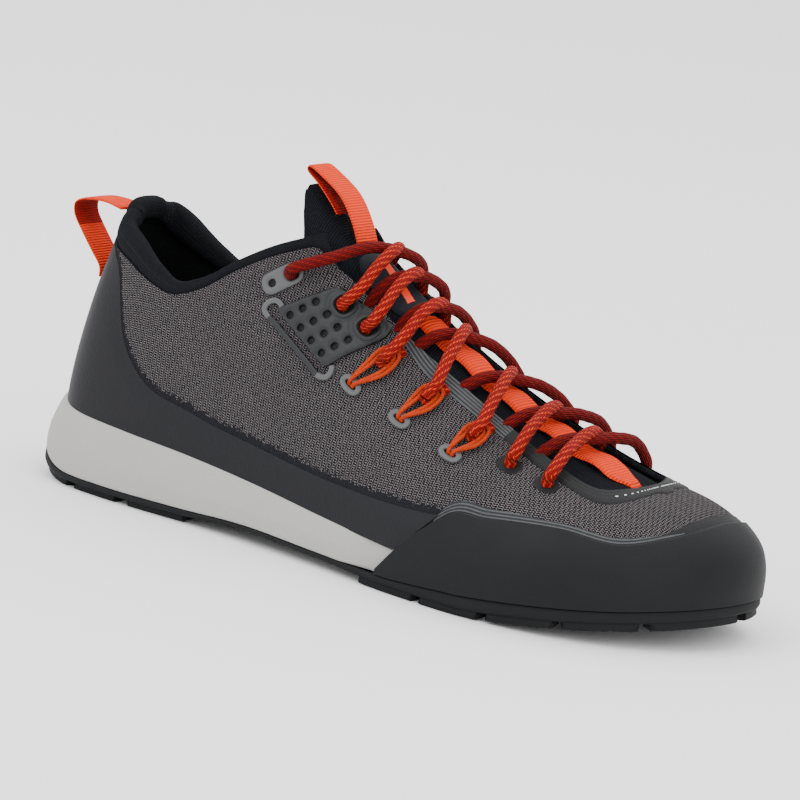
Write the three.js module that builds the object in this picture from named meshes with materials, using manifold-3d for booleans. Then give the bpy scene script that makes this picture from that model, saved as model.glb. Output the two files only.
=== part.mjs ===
// Right approach shoe, toe towards +X, lateral side towards -Y, floor at z = 0 (millimetres).
import * as THREE from 'three';
import { mergeVertices } from 'three/addons/utils/BufferGeometryUtils.js';
import ManifoldModule from 'manifold-3d';

// Driving sizes
const LENGTH = 299.5;
const BALL_WIDTH = 102;
const STACK = 34;
const INSTEP_HEIGHT = 104;
const HEEL_HEIGHT = 109;
const UPPER_WALL = 2;
const RAND_THICKNESS = 2;
const FILM_THICKNESS = 0.7;
const TONGUE_THICKNESS = 3.2;
const INSOLE_THICKNESS = 4;
const LUG_DEPTH = 2.4;
const LACE_RADIUS = 2.3;
const LOOP_CORD_RADIUS = 1.1;
const WEBBING_THICKNESS = 1.2;
const HEEL_LOOP_WIDTH = 14;
const PULL_TAB_WIDTH = 12.5;
const TONGUE_WEBBING_WIDTH = 15;
const PLATE_THICKNESS = 1.3;
const THROAT_END = 12;
const MEDIAL_FULLNESS = 0.6;
const THROAT_TRIM_WIDTH = 6;
const GAP = 0.3;
const LEDGE = 0.8;
const RECESS = 1.6;
const LIP = 1.6;
const FLOOR = 4.2;

// Outline of the sole from the heel centre along the lateral side to the toe and back.
// along: share of LENGTH; across, flare: shares of BALL_WIDTH; rise, seat, skin: shares of
// STACK (underside, seat of the upper, rubber edge); lean: forward lean, share of HEEL_HEIGHT.
const OUTLINE = [
  { along: 0.000, across: 0.010, rise: 0.176, seat: 1.000, flare: 0.071, skin: 0.33, lean: 0.072 },
  { along: 0.008, across: -0.137, rise: 0.132, seat: 0.970, flare: 0.067, skin: 0.30, lean: 0.075 },
  { along: 0.033, across: -0.255, rise: 0.053, seat: 0.897, flare: 0.059, skin: 0.21, lean: 0.083 },
  { along: 0.083, across: -0.333, rise: 0.000, seat: 0.853, flare: 0.044, skin: 0.15, lean: 0.050 },
  { along: 0.167, across: -0.363, rise: 0.000, seat: 0.809, flare: 0.039, skin: 0.14, lean: 0.009 },
  { along: 0.277, across: -0.368, rise: 0.012, seat: 0.750, flare: 0.031, skin: 0.14, lean: 0 },
  { along: 0.384, across: -0.382, rise: 0.059, seat: 0.662, flare: 0.029, skin: 0.13, lean: 0 },
  { along: 0.501, across: -0.417, rise: 0.035, seat: 0.559, flare: 0.022, skin: 0.13, lean: 0 },
  { along: 0.618, across: -0.466, rise: 0.000, seat: 0.485, flare: 0.015, skin: 0.16, lean: 0 },
  { along: 0.725, across: -0.485, rise: 0.000, seat: 0.426, flare: 0.012, skin: 0.22, lean: 0 },
  { along: 0.825, across: -0.451, rise: 0.088, seat: 0.456, flare: 0.012, skin: 0.22, lean: 0 },
  { along: 0.902, across: -0.358, rise: 0.171, seat: 0.515, flare: 0.012, skin: 0.21, lean: 0 },
  { along: 0.958, across: -0.216, rise: 0.235, seat: 0.574, flare: 0.012, skin: 0.21, lean: 0 },
  { along: 0.990, across: -0.059, rise: 0.282, seat: 0.612, flare: 0.012, skin: 0.20, lean: 0 },
  { along: 1.000, across: 0.088, rise: 0.294, seat: 0.624, flare: 0.012, skin: 0.20, lean: 0 },
  { along: 0.992, across: 0.225, rise: 0.276, seat: 0.618, flare: 0.012, skin: 0.20, lean: 0 },
  { along: 0.962, across: 0.353, rise: 0.235, seat: 0.582, flare: 0.012, skin: 0.21, lean: 0 },
  { along: 0.905, across: 0.451, rise: 0.176, seat: 0.529, flare: 0.012, skin: 0.21, lean: 0 },
  { along: 0.821, across: 0.500, rise: 0.088, seat: 0.471, flare: 0.012, skin: 0.22, lean: 0 },
  { along: 0.725, across: 0.495, rise: 0.000, seat: 0.435, flare: 0.012, skin: 0.22, lean: 0 },
  { along: 0.624, across: 0.436, rise: 0.000, seat: 0.500, flare: 0.005, skin: 0.16, lean: 0 },
  { along: 0.518, across: 0.358, rise: 0.088, seat: 0.603, flare: -0.022, skin: 0.13, lean: 0 },
  { along: 0.391, across: 0.314, rise: 0.147, seat: 0.706, flare: -0.020, skin: 0.13, lean: 0 },
  { along: 0.277, across: 0.324, rise: 0.074, seat: 0.779, flare: 0.010, skin: 0.14, lean: 0 },
  { along: 0.167, across: 0.338, rise: 0.000, seat: 0.824, flare: 0.039, skin: 0.14, lean: 0.009 },
  { along: 0.083, across: 0.324, rise: 0.000, seat: 0.853, flare: 0.044, skin: 0.15, lean: 0.050 },
  { along: 0.033, across: 0.260, rise: 0.053, seat: 0.897, flare: 0.059, skin: 0.21, lean: 0.083 },
  { along: 0.008, across: 0.147, rise: 0.132, seat: 0.970, flare: 0.067, skin: 0.30, lean: 0.075 },
];
const STATIONS = OUTLINE.length;
const TOE = STATIONS / 2;

// Ridge of the last. along, across, ridge: shares of LENGTH, BALL_WIDTH, INSTEP_HEIGHT;
// plan, side: exponents of the cross-section; gap: half width of the throat, of BALL_WIDTH.
const SPINE = [
  { along: 0.164, across: -0.010, ridge: 1.690, plan: 2.0, side: 1.75, gap: 0.17 },
  { along: 0.267, across: -0.010, ridge: 1.460, plan: 2.2, side: 1.70, gap: 0.17 },
  { along: 0.351, across: 0.000, ridge: 1.270, plan: 2.3, side: 1.70, gap: 0.17 },
  { along: 0.411, across: 0.010, ridge: 1.125, plan: 2.2, side: 1.65, gap: 0.168 },
  { along: 0.467, across: 0.020, ridge: 1.000, plan: 2.1, side: 1.60, gap: 0.157 },
  { along: 0.534, across: 0.034, ridge: 0.856, plan: 2.0, side: 1.60, gap: 0.154 },
  { along: 0.611, across: 0.049, ridge: 0.726, plan: 2.0, side: 1.65, gap: 0.157 },
  { along: 0.684, across: 0.064, ridge: 0.625, plan: 2.0, side: 1.80, gap: 0.175 },
  { along: 0.758, across: 0.078, ridge: 0.543, plan: 2.1, side: 2.00, gap: 0.211 },
  { along: 0.838, across: 0.093, ridge: 0.466, plan: 2.3, side: 2.30, gap: 0.245 },
];

// Collar by station from the heel centre; rim, band, pad: shares of HEEL_HEIGHT.
const COLLAR = [
  { station: 0.0, rim: 1.000, band: 0.070, pad: 0.060 },
  { station: 1.0, rim: 0.995, band: 0.070, pad: 0.060 },
  { station: 2.0, rim: 0.970, band: 0.075, pad: 0.058 },
  { station: 3.0, rim: 0.935, band: 0.090, pad: 0.055 },
  { station: 3.6, rim: 0.895, band: 0.085, pad: 0.062 },
  { station: 4.1, rim: 0.830, band: 0.065, pad: 0.052 },
  { station: 4.45, rim: 0.790, band: 0.042, pad: 0.045 },
  { station: 4.8, rim: 0.825, band: 0.038, pad: 0.040 },
  { station: 5.2, rim: 0.905, band: 0.035, pad: 0.036 },
  { station: 5.6, rim: 0.975, band: 0.035, pad: 0.034 },
  { station: 6.0, rim: 1.030, band: 0.035, pad: 0.032 },
  { station: 6.6, rim: 1.120, band: 0.035, pad: 0.032 },
];
const COLLAR_END = 5.75;

// Top lines of the counter film and of the rand by station; height: share of HEEL_HEIGHT.
const COUNTER_LINE = [
  { station: 0, height: 0.83 },
  { station: 3, height: 0.83 },
  { station: 3.4, height: 0.76 },
  { station: 3.8, height: 0.55 },
  { station: 4.15, height: 0.452 },
  { station: 5, height: 0.372 },
  { station: 6, height: 0.325 },
  { station: 7, height: 0.290 },
  { station: 8, height: 0.285 },
  { station: 9, height: 0.300 },
];
const RAND_LINE = [
  { station: 7.85, height: 0.070 },
  { station: 8.12, height: 0.165 },
  { station: 8.45, height: 0.255 },
  { station: 8.62, height: 0.297 },
  { station: 9.1, height: 0.314 },
  { station: 10, height: 0.332 },
  { station: 11, height: 0.318 },
  { station: 12, height: 0.350 },
  { station: 13, height: 0.373 },
  { station: 14, height: 0.381 },
];
const RAND_START = RAND_LINE[0].station;
const COUNTER_LIFT = 3.8 * GAP;
const COUNTER_FOOT_END = 8.02;
const COUNTER_TOP_END = 8.5;
const TRIM_START = 7.15;

// Tongue from its top edge to the vamp; half: half width, drop: depth under the last,
// shares of BALL_WIDTH.
const TONGUE = [
  { along: 0.342, half: 0.160, drop: 0.050 },
  { along: 0.380, half: 0.195, drop: 0.052 },
  { along: 0.430, half: 0.205, drop: 0.046 },
  { along: 0.490, half: 0.225, drop: 0.031 },
  { along: 0.600, half: 0.245, drop: 0.027 },
  { along: 0.780, half: 0.270, drop: 0.027 },
  { along: 0.840, half: 0.250, drop: 0.028 },
  { along: 0.880, half: 0.190, drop: 0.030 },
];

// Lacing by row from the ankle; along: share of LENGTH; reach: distance from the ridge line,
// share of BALL_WIDTH; loop: length of the cord loop below the turn, share of BALL_WIDTH;
// dive: how far towards the next row a strand meets the far edge; bow: forward bulge.
const LACE_ROWS = [
  { along: 0.378, reach: 0.243, loop: 0, dive: 0, bow: 0 },
  { along: 0.443, reach: 0.216, loop: 0, dive: 0.10, bow: 0.03 },
  { along: 0.481, reach: 0.208, loop: 0, dive: 0.10, bow: 0 },
  { along: 0.527, reach: 0.240, loop: 0.150, dive: 0.20, bow: 0 },
  { along: 0.596, reach: 0.258, loop: 0.128, dive: 0.70, bow: 0 },
  { along: 0.669, reach: 0.285, loop: 0.110, dive: 0.70, bow: 0 },
  { along: 0.724, reach: 0.303, loop: 0, dive: 0.70, bow: 0 },
  { along: 0.776, reach: 0.305, loop: 0, dive: 0.70, bow: 0 },
];

// Eyestay wing by the place of its rear edge on the last; sizes of its flat shape
const WING = { station: 6.25, angle: 0.700, turn: -0.05, rear: 30.4, setBack: 0.12 };
const WING_EYELETS = [
  { forward: 1.9, up: 19.2 },
  { forward: 14.4, up: 20.2 },
];
const WING_HOLE_ROWS = 3;
const WING_HOLE_COLUMNS = 4;
const WING_HOLE_RADIUS = 1.35;
const EYELET_PLATE = { station: 5.84, angle: 0.83, setBack: 0.05, turn: 0.52, length: 16.5, width: 8.2 };
const GROMMET = { length: 9.6, width: 5.8, ring: 1.05 };

// Heel loop: back, distance behind the heel film beyond its clearance, and pull tab in the
// middle plane; shares of LENGTH and HEEL_HEIGHT.
const HEEL_LOOP = [
  { back: -0.0051, up: 0.950 },
  { back: 0.0226, up: 0.962 },
  { back: 0.0520, up: 0.957 },
  { back: 0.0674, up: 0.935 },
  { back: 0.0637, up: 0.900 },
  { back: 0.0437, up: 0.845 },
  { back: 0.0176, up: 0.780 },
  { back: 0.0029, up: 0.735 },
  { back: 0.0000, up: 0.695 },
];
const PULL_TAB = [
  { along: 0.425, up: 1.005 },
  { along: 0.411, up: 1.085 },
  { along: 0.390, up: 1.160 },
  { along: 0.362, up: 1.210 },
  { along: 0.338, up: 1.238 },
  { along: 0.336, up: 1.228 },
  { along: 0.356, up: 1.185 },
  { along: 0.376, up: 1.135 },
  { along: 0.388, up: 1.098 },
];

// Lugs: blocks of the tread by first and last station, and inner ones by place and size.
const EDGE_LUGS = [
  { from: -1.55, to: -0.12 }, { from: 0.12, to: 1.55 }, { from: 1.8, to: 3.1 },
  { from: 3.25, to: 4.1 }, { from: 4.25, to: 5.1 }, { from: 7.6, to: 8.35 },
  { from: 8.5, to: 9.25 }, { from: 9.4, to: 10.2 }, { from: 10.4, to: 11.5 },
  { from: 11.75, to: 13.2 },
];
const INNER_LUGS = [
  { along: 0.14, across: 0.0, length: 0.06, width: 0.24 },
  { along: 0.24, across: 0.0, length: 0.06, width: 0.26 },
  { along: 0.66, across: 0.0, length: 0.06, width: 0.48 },
  { along: 0.77, across: 0.01, length: 0.06, width: 0.50 },
];
const LUG_WIDTH = 13;

const COLOURS = {
  rubber: { color: 0x26272a, roughness: 0.75 },
  foam: { color: 0xb9babb, roughness: 0.85 },
  knit: { color: 0x585456, roughness: 0.95 },
  film: { color: 0x3b3b40, roughness: 0.7 },
  lining: { color: 0x1b1c20, roughness: 0.95 },
  tongue: { color: 0x20242c, roughness: 0.9 },
  webbing: { color: 0xf2643a, roughness: 0.85 },
  cord: { color: 0xf0683c, roughness: 0.8 },
  lace: { color: 0xa81c14, roughness: 0.85 },
  badge: { color: 0x232a36, roughness: 0.35 },
  plate: { color: 0x4b4d50, roughness: 0.6 },
  trim: { color: 0x7b7f83, roughness: 0.55 },
};

const wasm = await ManifoldModule();
wasm.setup();
const { Manifold, Mesh: ManifoldMesh } = wasm;
const group = new THREE.Group();
group.name = 'approach_shoe';

const mix = (a, b, f) => a + (b - a) * f;
const clamp = (x, low, high) => Math.min(high, Math.max(low, x));

function softPlus(x, width) {
  return width * Math.log1p(Math.exp(x / width));
}

// Cubic through the rows of an open table.
function along(rows, by, column, x) {
  const last = rows.length - 1;
  const q = clamp(x, rows[0][by], rows[last][by]);
  let i = 0;
  while (i < last - 1 && q > rows[i + 1][by]) i++;
  const slope = (j) => (rows[j + 1][column] - rows[j][column]) / (rows[j + 1][by] - rows[j][by]);
  const span = (j) => rows[j + 1][by] - rows[j][by];
  const tangent = (j) => {
    if (j === 0) return slope(0);
    if (j === last) return slope(last - 1);
    return (slope(j - 1) * span(j) + slope(j) * span(j - 1)) / (span(j - 1) + span(j));
  };
  const h = span(i);
  const f = (q - rows[i][by]) / h;
  const g = 1 - f;
  return (1 + 2 * f) * g * g * rows[i][column] + f * g * g * h * tangent(i)
    + f * f * (3 - 2 * f) * rows[i + 1][column] - f * f * g * h * tangent(i + 1);
}

// Closed cubic through the outline rows, with its slope.
function outlineValue(column, t) {
  const i = Math.floor(t);
  const f = t - i;
  const at = (k) => OUTLINE[(((i + k) % STATIONS) + STATIONS) % STATIONS][column];
  const [a, b, c, d] = [at(-1), at(0), at(1), at(2)];
  const p = c - a;
  const q = 2 * a - 5 * b + 4 * c - d;
  const r = 3 * b - a - 3 * c + d;
  return { value: 0.5 * (2 * b + p * f + q * f * f + r * f ** 3), slope: 0.5 * (p + 2 * q * f + 3 * r * f * f) };
}

// Point of the outline moved inwards, with the outward direction and the heights there.
function footAt(t, inset = 0) {
  const x = outlineValue('along', t);
  const y = outlineValue('across', t);
  const dx = x.slope * LENGTH;
  const dy = y.slope * BALL_WIDTH;
  const size = Math.hypot(dx, dy);
  const out = [dy / size, -dx / size];
  return {
    x: x.value * LENGTH - out[0] * inset,
    y: y.value * BALL_WIDTH - out[1] * inset,
    out,
    rise: Math.max(0, outlineValue('rise', t).value * STACK),
    seat: outlineValue('seat', t).value * STACK,
    flare: outlineValue('flare', t).value * BALL_WIDTH,
    skin: outlineValue('skin', t).value * STACK,
    lean: Math.max(0, outlineValue('lean', t).value * HEEL_HEIGHT),
  };
}

// Cross-section of the last that the outline point t belongs to.
function sectionAt(t) {
  const edge = footAt(t);
  const inset = edge.flare + LEDGE;
  const x = edge.x - edge.out[0] * inset;
  const y = edge.y - edge.out[1] * inset;
  const first = SPINE[0].along * LENGTH;
  const final = SPINE[SPINE.length - 1].along * LENGTH;
  const width = 0.027 * LENGTH;
  const a = first + softPlus(x - first, width);
  const centre = final - softPlus(final - a, width);
  const share = centre / LENGTH;
  const value = (column) => along(SPINE, 'along', column, share);
  return {
    ...edge,
    x,
    y,
    cx: centre,
    cy: value('across') * BALL_WIDTH,
    ridge: value('ridge') * INSTEP_HEIGHT,
    plan: value('plan') + MEDIAL_FULLNESS * Math.max(0, -Math.sin((Math.PI * t) / TOE)),
    side: value('side'),
    gap: value('gap') * BALL_WIDTH,
  };
}

// Point of the last: angle 0 at the seat, a right angle on the ridge.
function lastPoint(t, angle) {
  const s = sectionAt(t);
  const rho = Math.abs(Math.cos(angle)) ** (2 / s.plan);
  const zeta = Math.abs(Math.sin(angle)) ** (2 / s.side);
  const z = s.seat + (s.ridge - s.seat) * zeta;
  const lean = s.lean * clamp((z - s.seat) / (HEEL_HEIGHT - s.seat), 0, 1.4) ** 1.3;
  return new THREE.Vector3(
    s.cx + (s.x - s.cx) * rho - s.out[0] * lean,
    s.cy + (s.y - s.cy) * rho - s.out[1] * lean,
    z,
  );
}

// Point at a distance from the last, outside for a positive lift.
function skinPoint(t, angle, lift) {
  const step = 0.002;
  const low = Math.max(angle - step, 0);
  const high = Math.min(angle + step, Math.PI / 2);
  const up = lastPoint(t, high).sub(lastPoint(t, low));
  const forward = lastPoint(t + step, angle).sub(lastPoint(t - step, angle));
  const normal = forward.cross(up).normalize();
  return lastPoint(t, angle).addScaledVector(normal, lift);
}

// Angle at which the section reaches a height.
function angleAt(t, z) {
  const s = sectionAt(t);
  const share = clamp((z - s.seat) / (s.ridge - s.seat), 0, 1);
  return Math.asin(share ** (s.side / 2));
}

// Wall point at a height: the last above the seat, straight down from it below.
function wallPoint(t, z, lift) {
  const s = sectionAt(t);
  if (z > s.seat + 0.05) return skinPoint(t, angleAt(t, z), lift);
  return new THREE.Vector3(s.x + s.out[0] * lift, s.y + s.out[1] * lift, z);
}

// Angle at which the throat edge crosses the section, moved outwards by a width.
function throatAngle(t, width = 0) {
  const s = sectionAt(t);
  const dx = s.x - s.cx;
  const dy = s.y - s.cy;
  const radius = Math.hypot(dx, dy);
  const power = 2.6;
  const forward = Math.max(dx, 0) / radius / (THROAT_END + width);
  const sideways = Math.abs(dy) / radius / (s.gap + width);
  const reach = (forward ** power + sideways ** power) ** (-1 / power);
  return Math.acos(clamp(reach / radius, 0.02, 0.99) ** (s.plan / 2));
}

// Station counted from the heel centre along either side.
function sideStation(t) {
  const wrapped = ((t % STATIONS) + STATIONS) % STATIONS;
  return wrapped > TOE ? STATIONS - wrapped : wrapped;
}

// The medial rim dips a little nearer the heel.
function collarStation(t) {
  const wrapped = ((t % STATIONS) + STATIONS) % STATIONS;
  const station = sideStation(t);
  const bump = Math.max(0, Math.min(station - 1.5, 6 - station) / 2);
  return wrapped > TOE ? station + 0.25 * Math.min(1, bump) : station;
}

const rimHeight = (t) => along(COLLAR, 'station', 'rim', collarStation(t)) * HEEL_HEIGHT;
const bandHeight = (t) => along(COLLAR, 'station', 'band', collarStation(t)) * HEEL_HEIGHT;
const padDepth = (t) => along(COLLAR, 'station', 'pad', collarStation(t)) * HEEL_HEIGHT;

// Top edge of the upper: the collar line behind, the throat edge in front.
function edgeAngle(t) {
  const throat = throatAngle(t);
  if (sideStation(t) > 7) return throat;
  const collar = angleAt(t, rimHeight(t) - bandHeight(t));
  if (sideStation(t) < 5) return collar;
  const width = 0.02;
  return -width * Math.log(Math.exp(-throat / width) + Math.exp(-collar / width));
}

// Station and angle under a plan position on the roof of the last.
function planToLast(x, y) {
  let low = 0.5;
  let high = TOE;
  const centreShare = clamp(x / LENGTH, SPINE[0].along, SPINE[SPINE.length - 1].along);
  const ridgeY = along(SPINE, 'along', 'across', centreShare) * BALL_WIDTH;
  const mirror = y > ridgeY;
  const station = (k) => (mirror ? STATIONS - k : k);
  for (let i = 0; i < 40; i++) {
    const middle = (low + high) / 2;
    const s = sectionAt(station(middle));
    const turn = (s.x - s.cx) * (y - s.cy) - (s.y - s.cy) * (x - s.cx);
    if (mirror ? turn > 0 : turn < 0) high = middle;
    else low = middle;
  }
  const t = station((low + high) / 2);
  const s = sectionAt(t);
  const rho = Math.hypot(x - s.cx, y - s.cy) / Math.hypot(s.x - s.cx, s.y - s.cy);
  return { t, angle: Math.acos(clamp(rho, 0, 0.999) ** (s.plan / 2)) };
}

// Roof point over a plan position, lifted along the normal of the roof.
function roofPoint(x, y, lift) {
  const height = (px, py) => {
    const at = planToLast(px, py);
    return lastPoint(at.t, at.angle).z;
  };
  const step = 0.8;
  const dx = (height(x + step, y) - height(x - step, y)) / (2 * step);
  const dy = (height(x, y + step) - height(x, y - step)) / (2 * step);
  const normal = new THREE.Vector3(-dx, -dy, 1).normalize();
  return new THREE.Vector3(x, y, height(x, y)).addScaledVector(normal, lift);
}

// Tangent frame on the last: forward along the station line, up the side, outwards.
function frameAt(t, angle, turn = 0) {
  const step = 0.01;
  const origin = lastPoint(t, angle);
  const side = t > TOE ? -1 : 1;
  const forward = lastPoint(t + side * step, angle).sub(lastPoint(t - side * step, angle)).normalize();
  const upward = lastPoint(t, angle + step).sub(lastPoint(t, angle - step));
  const normal = forward.clone().cross(upward).normalize().multiplyScalar(side);
  const up = normal.clone().cross(forward).normalize().multiplyScalar(side);
  const turned = forward.clone().multiplyScalar(Math.cos(turn)).addScaledVector(up, Math.sin(turn));
  const risen = up.clone().multiplyScalar(Math.cos(turn)).addScaledVector(forward, -Math.sin(turn));
  return { t, angle, origin, forward: turned, up: risen, normal };
}

// Point draped on the last from flat coordinates in a tangent frame.
function drape(frame, a, b, lift) {
  const target = frame.origin.clone().addScaledVector(frame.forward, a).addScaledVector(frame.up, b);
  let t = frame.t;
  let angle = frame.angle;
  const step = 0.001;
  for (let i = 0; i < 8; i++) {
    const at = lastPoint(t, angle);
    const miss = target.clone().sub(at);
    const byT = lastPoint(t + step, angle).sub(at).divideScalar(step);
    const byAngle = lastPoint(t, angle + step).sub(at).divideScalar(step);
    const m = [byT.dot(frame.forward), byAngle.dot(frame.forward), byT.dot(frame.up), byAngle.dot(frame.up)];
    const det = m[0] * m[3] - m[1] * m[2];
    const e = [miss.dot(frame.forward), miss.dot(frame.up)];
    t += (e[0] * m[3] - e[1] * m[1]) / det;
    angle = clamp(angle + (m[0] * e[1] - m[2] * e[0]) / det, 0.01, 1.56);
  }
  return skinPoint(t, angle, lift);
}

// Station of the lateral outline at a distance from the heel
function stationAt(x) {
  let low = 0;
  let high = TOE;
  for (let i = 0; i < 30; i++) {
    const middle = (low + high) / 2;
    if (footAt(middle).x < x) low = middle;
    else high = middle;
  }
  return low;
}

function geometryFrom(points, triangles) {
  const geometry = new THREE.BufferGeometry();
  geometry.setAttribute('position', new THREE.Float32BufferAttribute(points.flatMap((p) => p.toArray()), 3));
  geometry.setIndex(triangles);
  return geometry;
}

// Faces the triangles outwards by the sign of the volume.
function outward(points, triangles) {
  let volume = 0;
  const cross = new THREE.Vector3();
  for (let i = 0; i < triangles.length; i += 3) {
    const [a, b, c] = [0, 1, 2].map((k) => points[triangles[i + k]]);
    volume += a.dot(cross.crossVectors(b, c));
  }
  if (volume > 0) return triangles;
  const flipped = [];
  for (let i = 0; i < triangles.length; i += 3) flipped.push(triangles[i], triangles[i + 2], triangles[i + 1]);
  return flipped;
}

function solid(points, triangles) {
  return geometryFrom(points, outward(points, triangles));
}

// Solid plate between an outer and an inner sheet of points over a grid.
function sheetSolid(columns, rows, point, closed = false) {
  const points = [];
  const triangles = [];
  const wide = closed ? columns : columns + 1;
  for (let side = 0; side < 2; side++) {
    for (let i = 0; i < wide; i++) {
      for (let j = 0; j <= rows; j++) points.push(point(i / columns, j / rows, side));
    }
  }
  const at = (side, i, j) => side * wide * (rows + 1) + (i % wide) * (rows + 1) + j;
  const quad = (a, b, c, d) => triangles.push(a, b, c, a, c, d);
  for (let i = 0; i < columns; i++) {
    for (let j = 0; j < rows; j++) {
      quad(at(0, i, j), at(0, i + 1, j), at(0, i + 1, j + 1), at(0, i, j + 1));
      quad(at(1, i, j), at(1, i, j + 1), at(1, i + 1, j + 1), at(1, i + 1, j));
    }
    quad(at(0, i, 0), at(1, i, 0), at(1, i + 1, 0), at(0, i + 1, 0));
    quad(at(0, i, rows), at(0, i + 1, rows), at(1, i + 1, rows), at(1, i, rows));
  }
  for (let j = 0; j < rows && !closed; j++) {
    quad(at(0, 0, j), at(0, 0, j + 1), at(1, 0, j + 1), at(1, 0, j));
    quad(at(0, columns, j), at(1, columns, j), at(1, columns, j + 1), at(0, columns, j + 1));
  }
  return solid(points, triangles);
}

// Solid from a stack of closed rings, capped by strips across the shoe.
function ringSolid(rings) {
  const count = rings[0].length;
  const half = count / 2;
  const triangles = [];
  for (let k = 0; k + 1 < rings.length; k++) {
    for (let i = 0; i < count; i++) {
      const j = (i + 1) % count;
      const [a, b, c, d] = [k * count + i, k * count + j, (k + 1) * count + j, (k + 1) * count + i];
      triangles.push(a, b, c, a, c, d);
    }
  }
  const cap = (base, flip) => {
    for (let i = 0; i < half; i++) {
      const [a, b] = [base + i, base + i + 1];
      const [c, d] = [base + ((count - i - 1) % count), base + ((count - i) % count)];
      const faces = [];
      if (i + 1 < half) faces.push([a, b, c]);
      if (i > 0) faces.push([a, c, d]);
      for (const f of faces) triangles.push(f[0], flip ? f[2] : f[1], flip ? f[1] : f[2]);
    }
  };
  cap(0, true);
  cap((rings.length - 1) * count, false);
  return solid(rings.flat(), triangles);
}

// Tube or ribbon: a closed section carried along a path of points.
function sweepSolid(path, section, closed = false) {
  const points = [];
  const triangles = [];
  const count = section.length;
  const frames = path.length;
  path.forEach((place) => section.forEach(([a, b]) => points.push(
    place.point.clone().addScaledVector(place.wide, a).addScaledVector(place.thick, b),
  )));
  const spans = closed ? frames : frames - 1;
  for (let i = 0; i < spans; i++) {
    for (let j = 0; j < count; j++) {
      const [n, m] = [((i + 1) % frames) * count, (j + 1) % count];
      triangles.push(i * count + j, i * count + m, n + m, i * count + j, n + m, n + j);
    }
  }
  if (!closed) {
    const end = (frames - 1) * count;
    for (let j = 1; j + 1 < count; j++) triangles.push(0, j + 1, j, end, end + j, end + j + 1);
  }
  return solid(points, triangles);
}

function circleSection(radius, sides) {
  return Array.from({ length: sides }, (_, k) => {
    const a = (2 * Math.PI * (k + 0.5)) / sides;
    return [radius * Math.cos(a), radius * Math.sin(a)];
  });
}

function barSection(width, thickness) {
  return [[-width, -thickness], [width, -thickness], [width, thickness], [-width, thickness]]
    .map(([a, b]) => [a / 2, b / 2]);
}

// Frames along a smooth line through points, with a steady outward hint.
function pathThrough(points, count, hint, closed = false) {
  const curve = new THREE.CatmullRomCurve3(points, closed, 'centripetal');
  const places = closed ? count : count + 1;
  return Array.from({ length: places }, (_, i) => {
    const point = curve.getPoint(i / count);
    const tangent = curve.getTangent(i / count);
    const wide = tangent.clone().cross(hint(i / count)).normalize();
    return { point, wide, thick: wide.clone().cross(tangent).normalize() };
  });
}

function toManifold(geometry) {
  const merged = mergeVertices(geometry, 1e-4);
  return new Manifold(new ManifoldMesh({
    numProp: 3,
    vertProperties: Float32Array.from(merged.attributes.position.array),
    triVerts: Uint32Array.from(merged.index.array),
  }));
}

function fromManifold(body) {
  const mesh = body.getMesh();
  const geometry = new THREE.BufferGeometry();
  geometry.setAttribute('position', new THREE.Float32BufferAttribute(Array.from(mesh.vertProperties), 3));
  geometry.setIndex(Array.from(mesh.triVerts));
  return geometry;
}

const join = (list) => fromManifold(list.map(toManifold).reduce((a, b) => Manifold.union(a, b)));
const cut = (body, list) => fromManifold(
  list.map(toManifold).reduce((a, b) => Manifold.difference(a, b), toManifold(body)),
);

function add(name, geometry, look) {
  const finish = { ...COLOURS[look], metalness: 0 };
  const mesh = new THREE.Mesh(geometry, new THREE.MeshStandardMaterial(finish));
  mesh.name = name;
  group.add(mesh);
  return mesh;
}

// Stations shared by the bands and rings, closer together along the dip of the collar
const stationSteps = (from, to, step) => {
  const count = Math.round((to - from) / step);
  return Array.from({ length: count }, (_, i) => from + (i * (to - from)) / count);
};
const HALF_GRID = [...stationSteps(0, 3, 0.5), ...stationSteps(3, 6.5, 0.25), ...stationSteps(6.5, TOE, 0.5)];
const GRID = [...HALF_GRID, TOE, ...HALF_GRID.slice(1).reverse().map((t) => STATIONS - t)];
const HALF_RING = [...stationSteps(0, 3, 0.5), ...stationSteps(3, 7, 1), ...stationSteps(7, TOE, 0.5)];
const RING = [...HALF_RING, TOE, ...HALF_RING.slice(1).reverse().map((t) => STATIONS - t)];

// Stations from a start on the lateral side round one end to the same place on the medial side
const roundHeel = (end) => {
  const half = HALF_GRID.filter((t) => t < end - 0.01).concat(end);
  return [...half.slice(1).reverse().map((t) => -t), ...half];
};
const roundToe = (start, extra = []) => {
  const half = [start, ...extra, ...HALF_GRID.filter((t) => t > start + 0.01 && !extra.some((e) => t < e + 0.2)), TOE];
  return [...half, ...half.slice(0, -1).reverse().map((t) => STATIONS - t)];
};
const pick = (list, u) => list[Math.round(u * (list.length - 1))];
const ringAt = (inset, height) => RING.map((t) => {
  const p = footAt(t, inset(footAt(t), t));
  return new THREE.Vector3(p.x, p.y, height(p, t));
});

const randCover = (t) => clamp((sideStation(t) - 7.3) / 0.4, 0, 1);
const insoleInset = (p) => p.flare + LEDGE + UPPER_WALL + 0.6;
const foamInset = (p, t) => randCover(t) * (p.flare + LEDGE + GAP);

// Outsole: a rubber plate with a bevelled edge and the main lugs under it
const plate = ringSolid([
  ringAt((p) => 1.6 + 0.1 * p.skin, (p) => p.rise + LUG_DEPTH),
  ringAt(() => 0.3, (p) => p.rise + LUG_DEPTH + 0.35 * (p.skin - LUG_DEPTH)),
  ringAt((p) => 0.06 * p.skin, (p) => p.rise + p.skin),
  ringAt((p) => 0.06 * p.skin + LIP, (p) => p.rise + p.skin),
  ringAt((p) => 0.06 * p.skin + LIP + 0.1, (p) => p.rise + FLOOR),
]);

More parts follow.
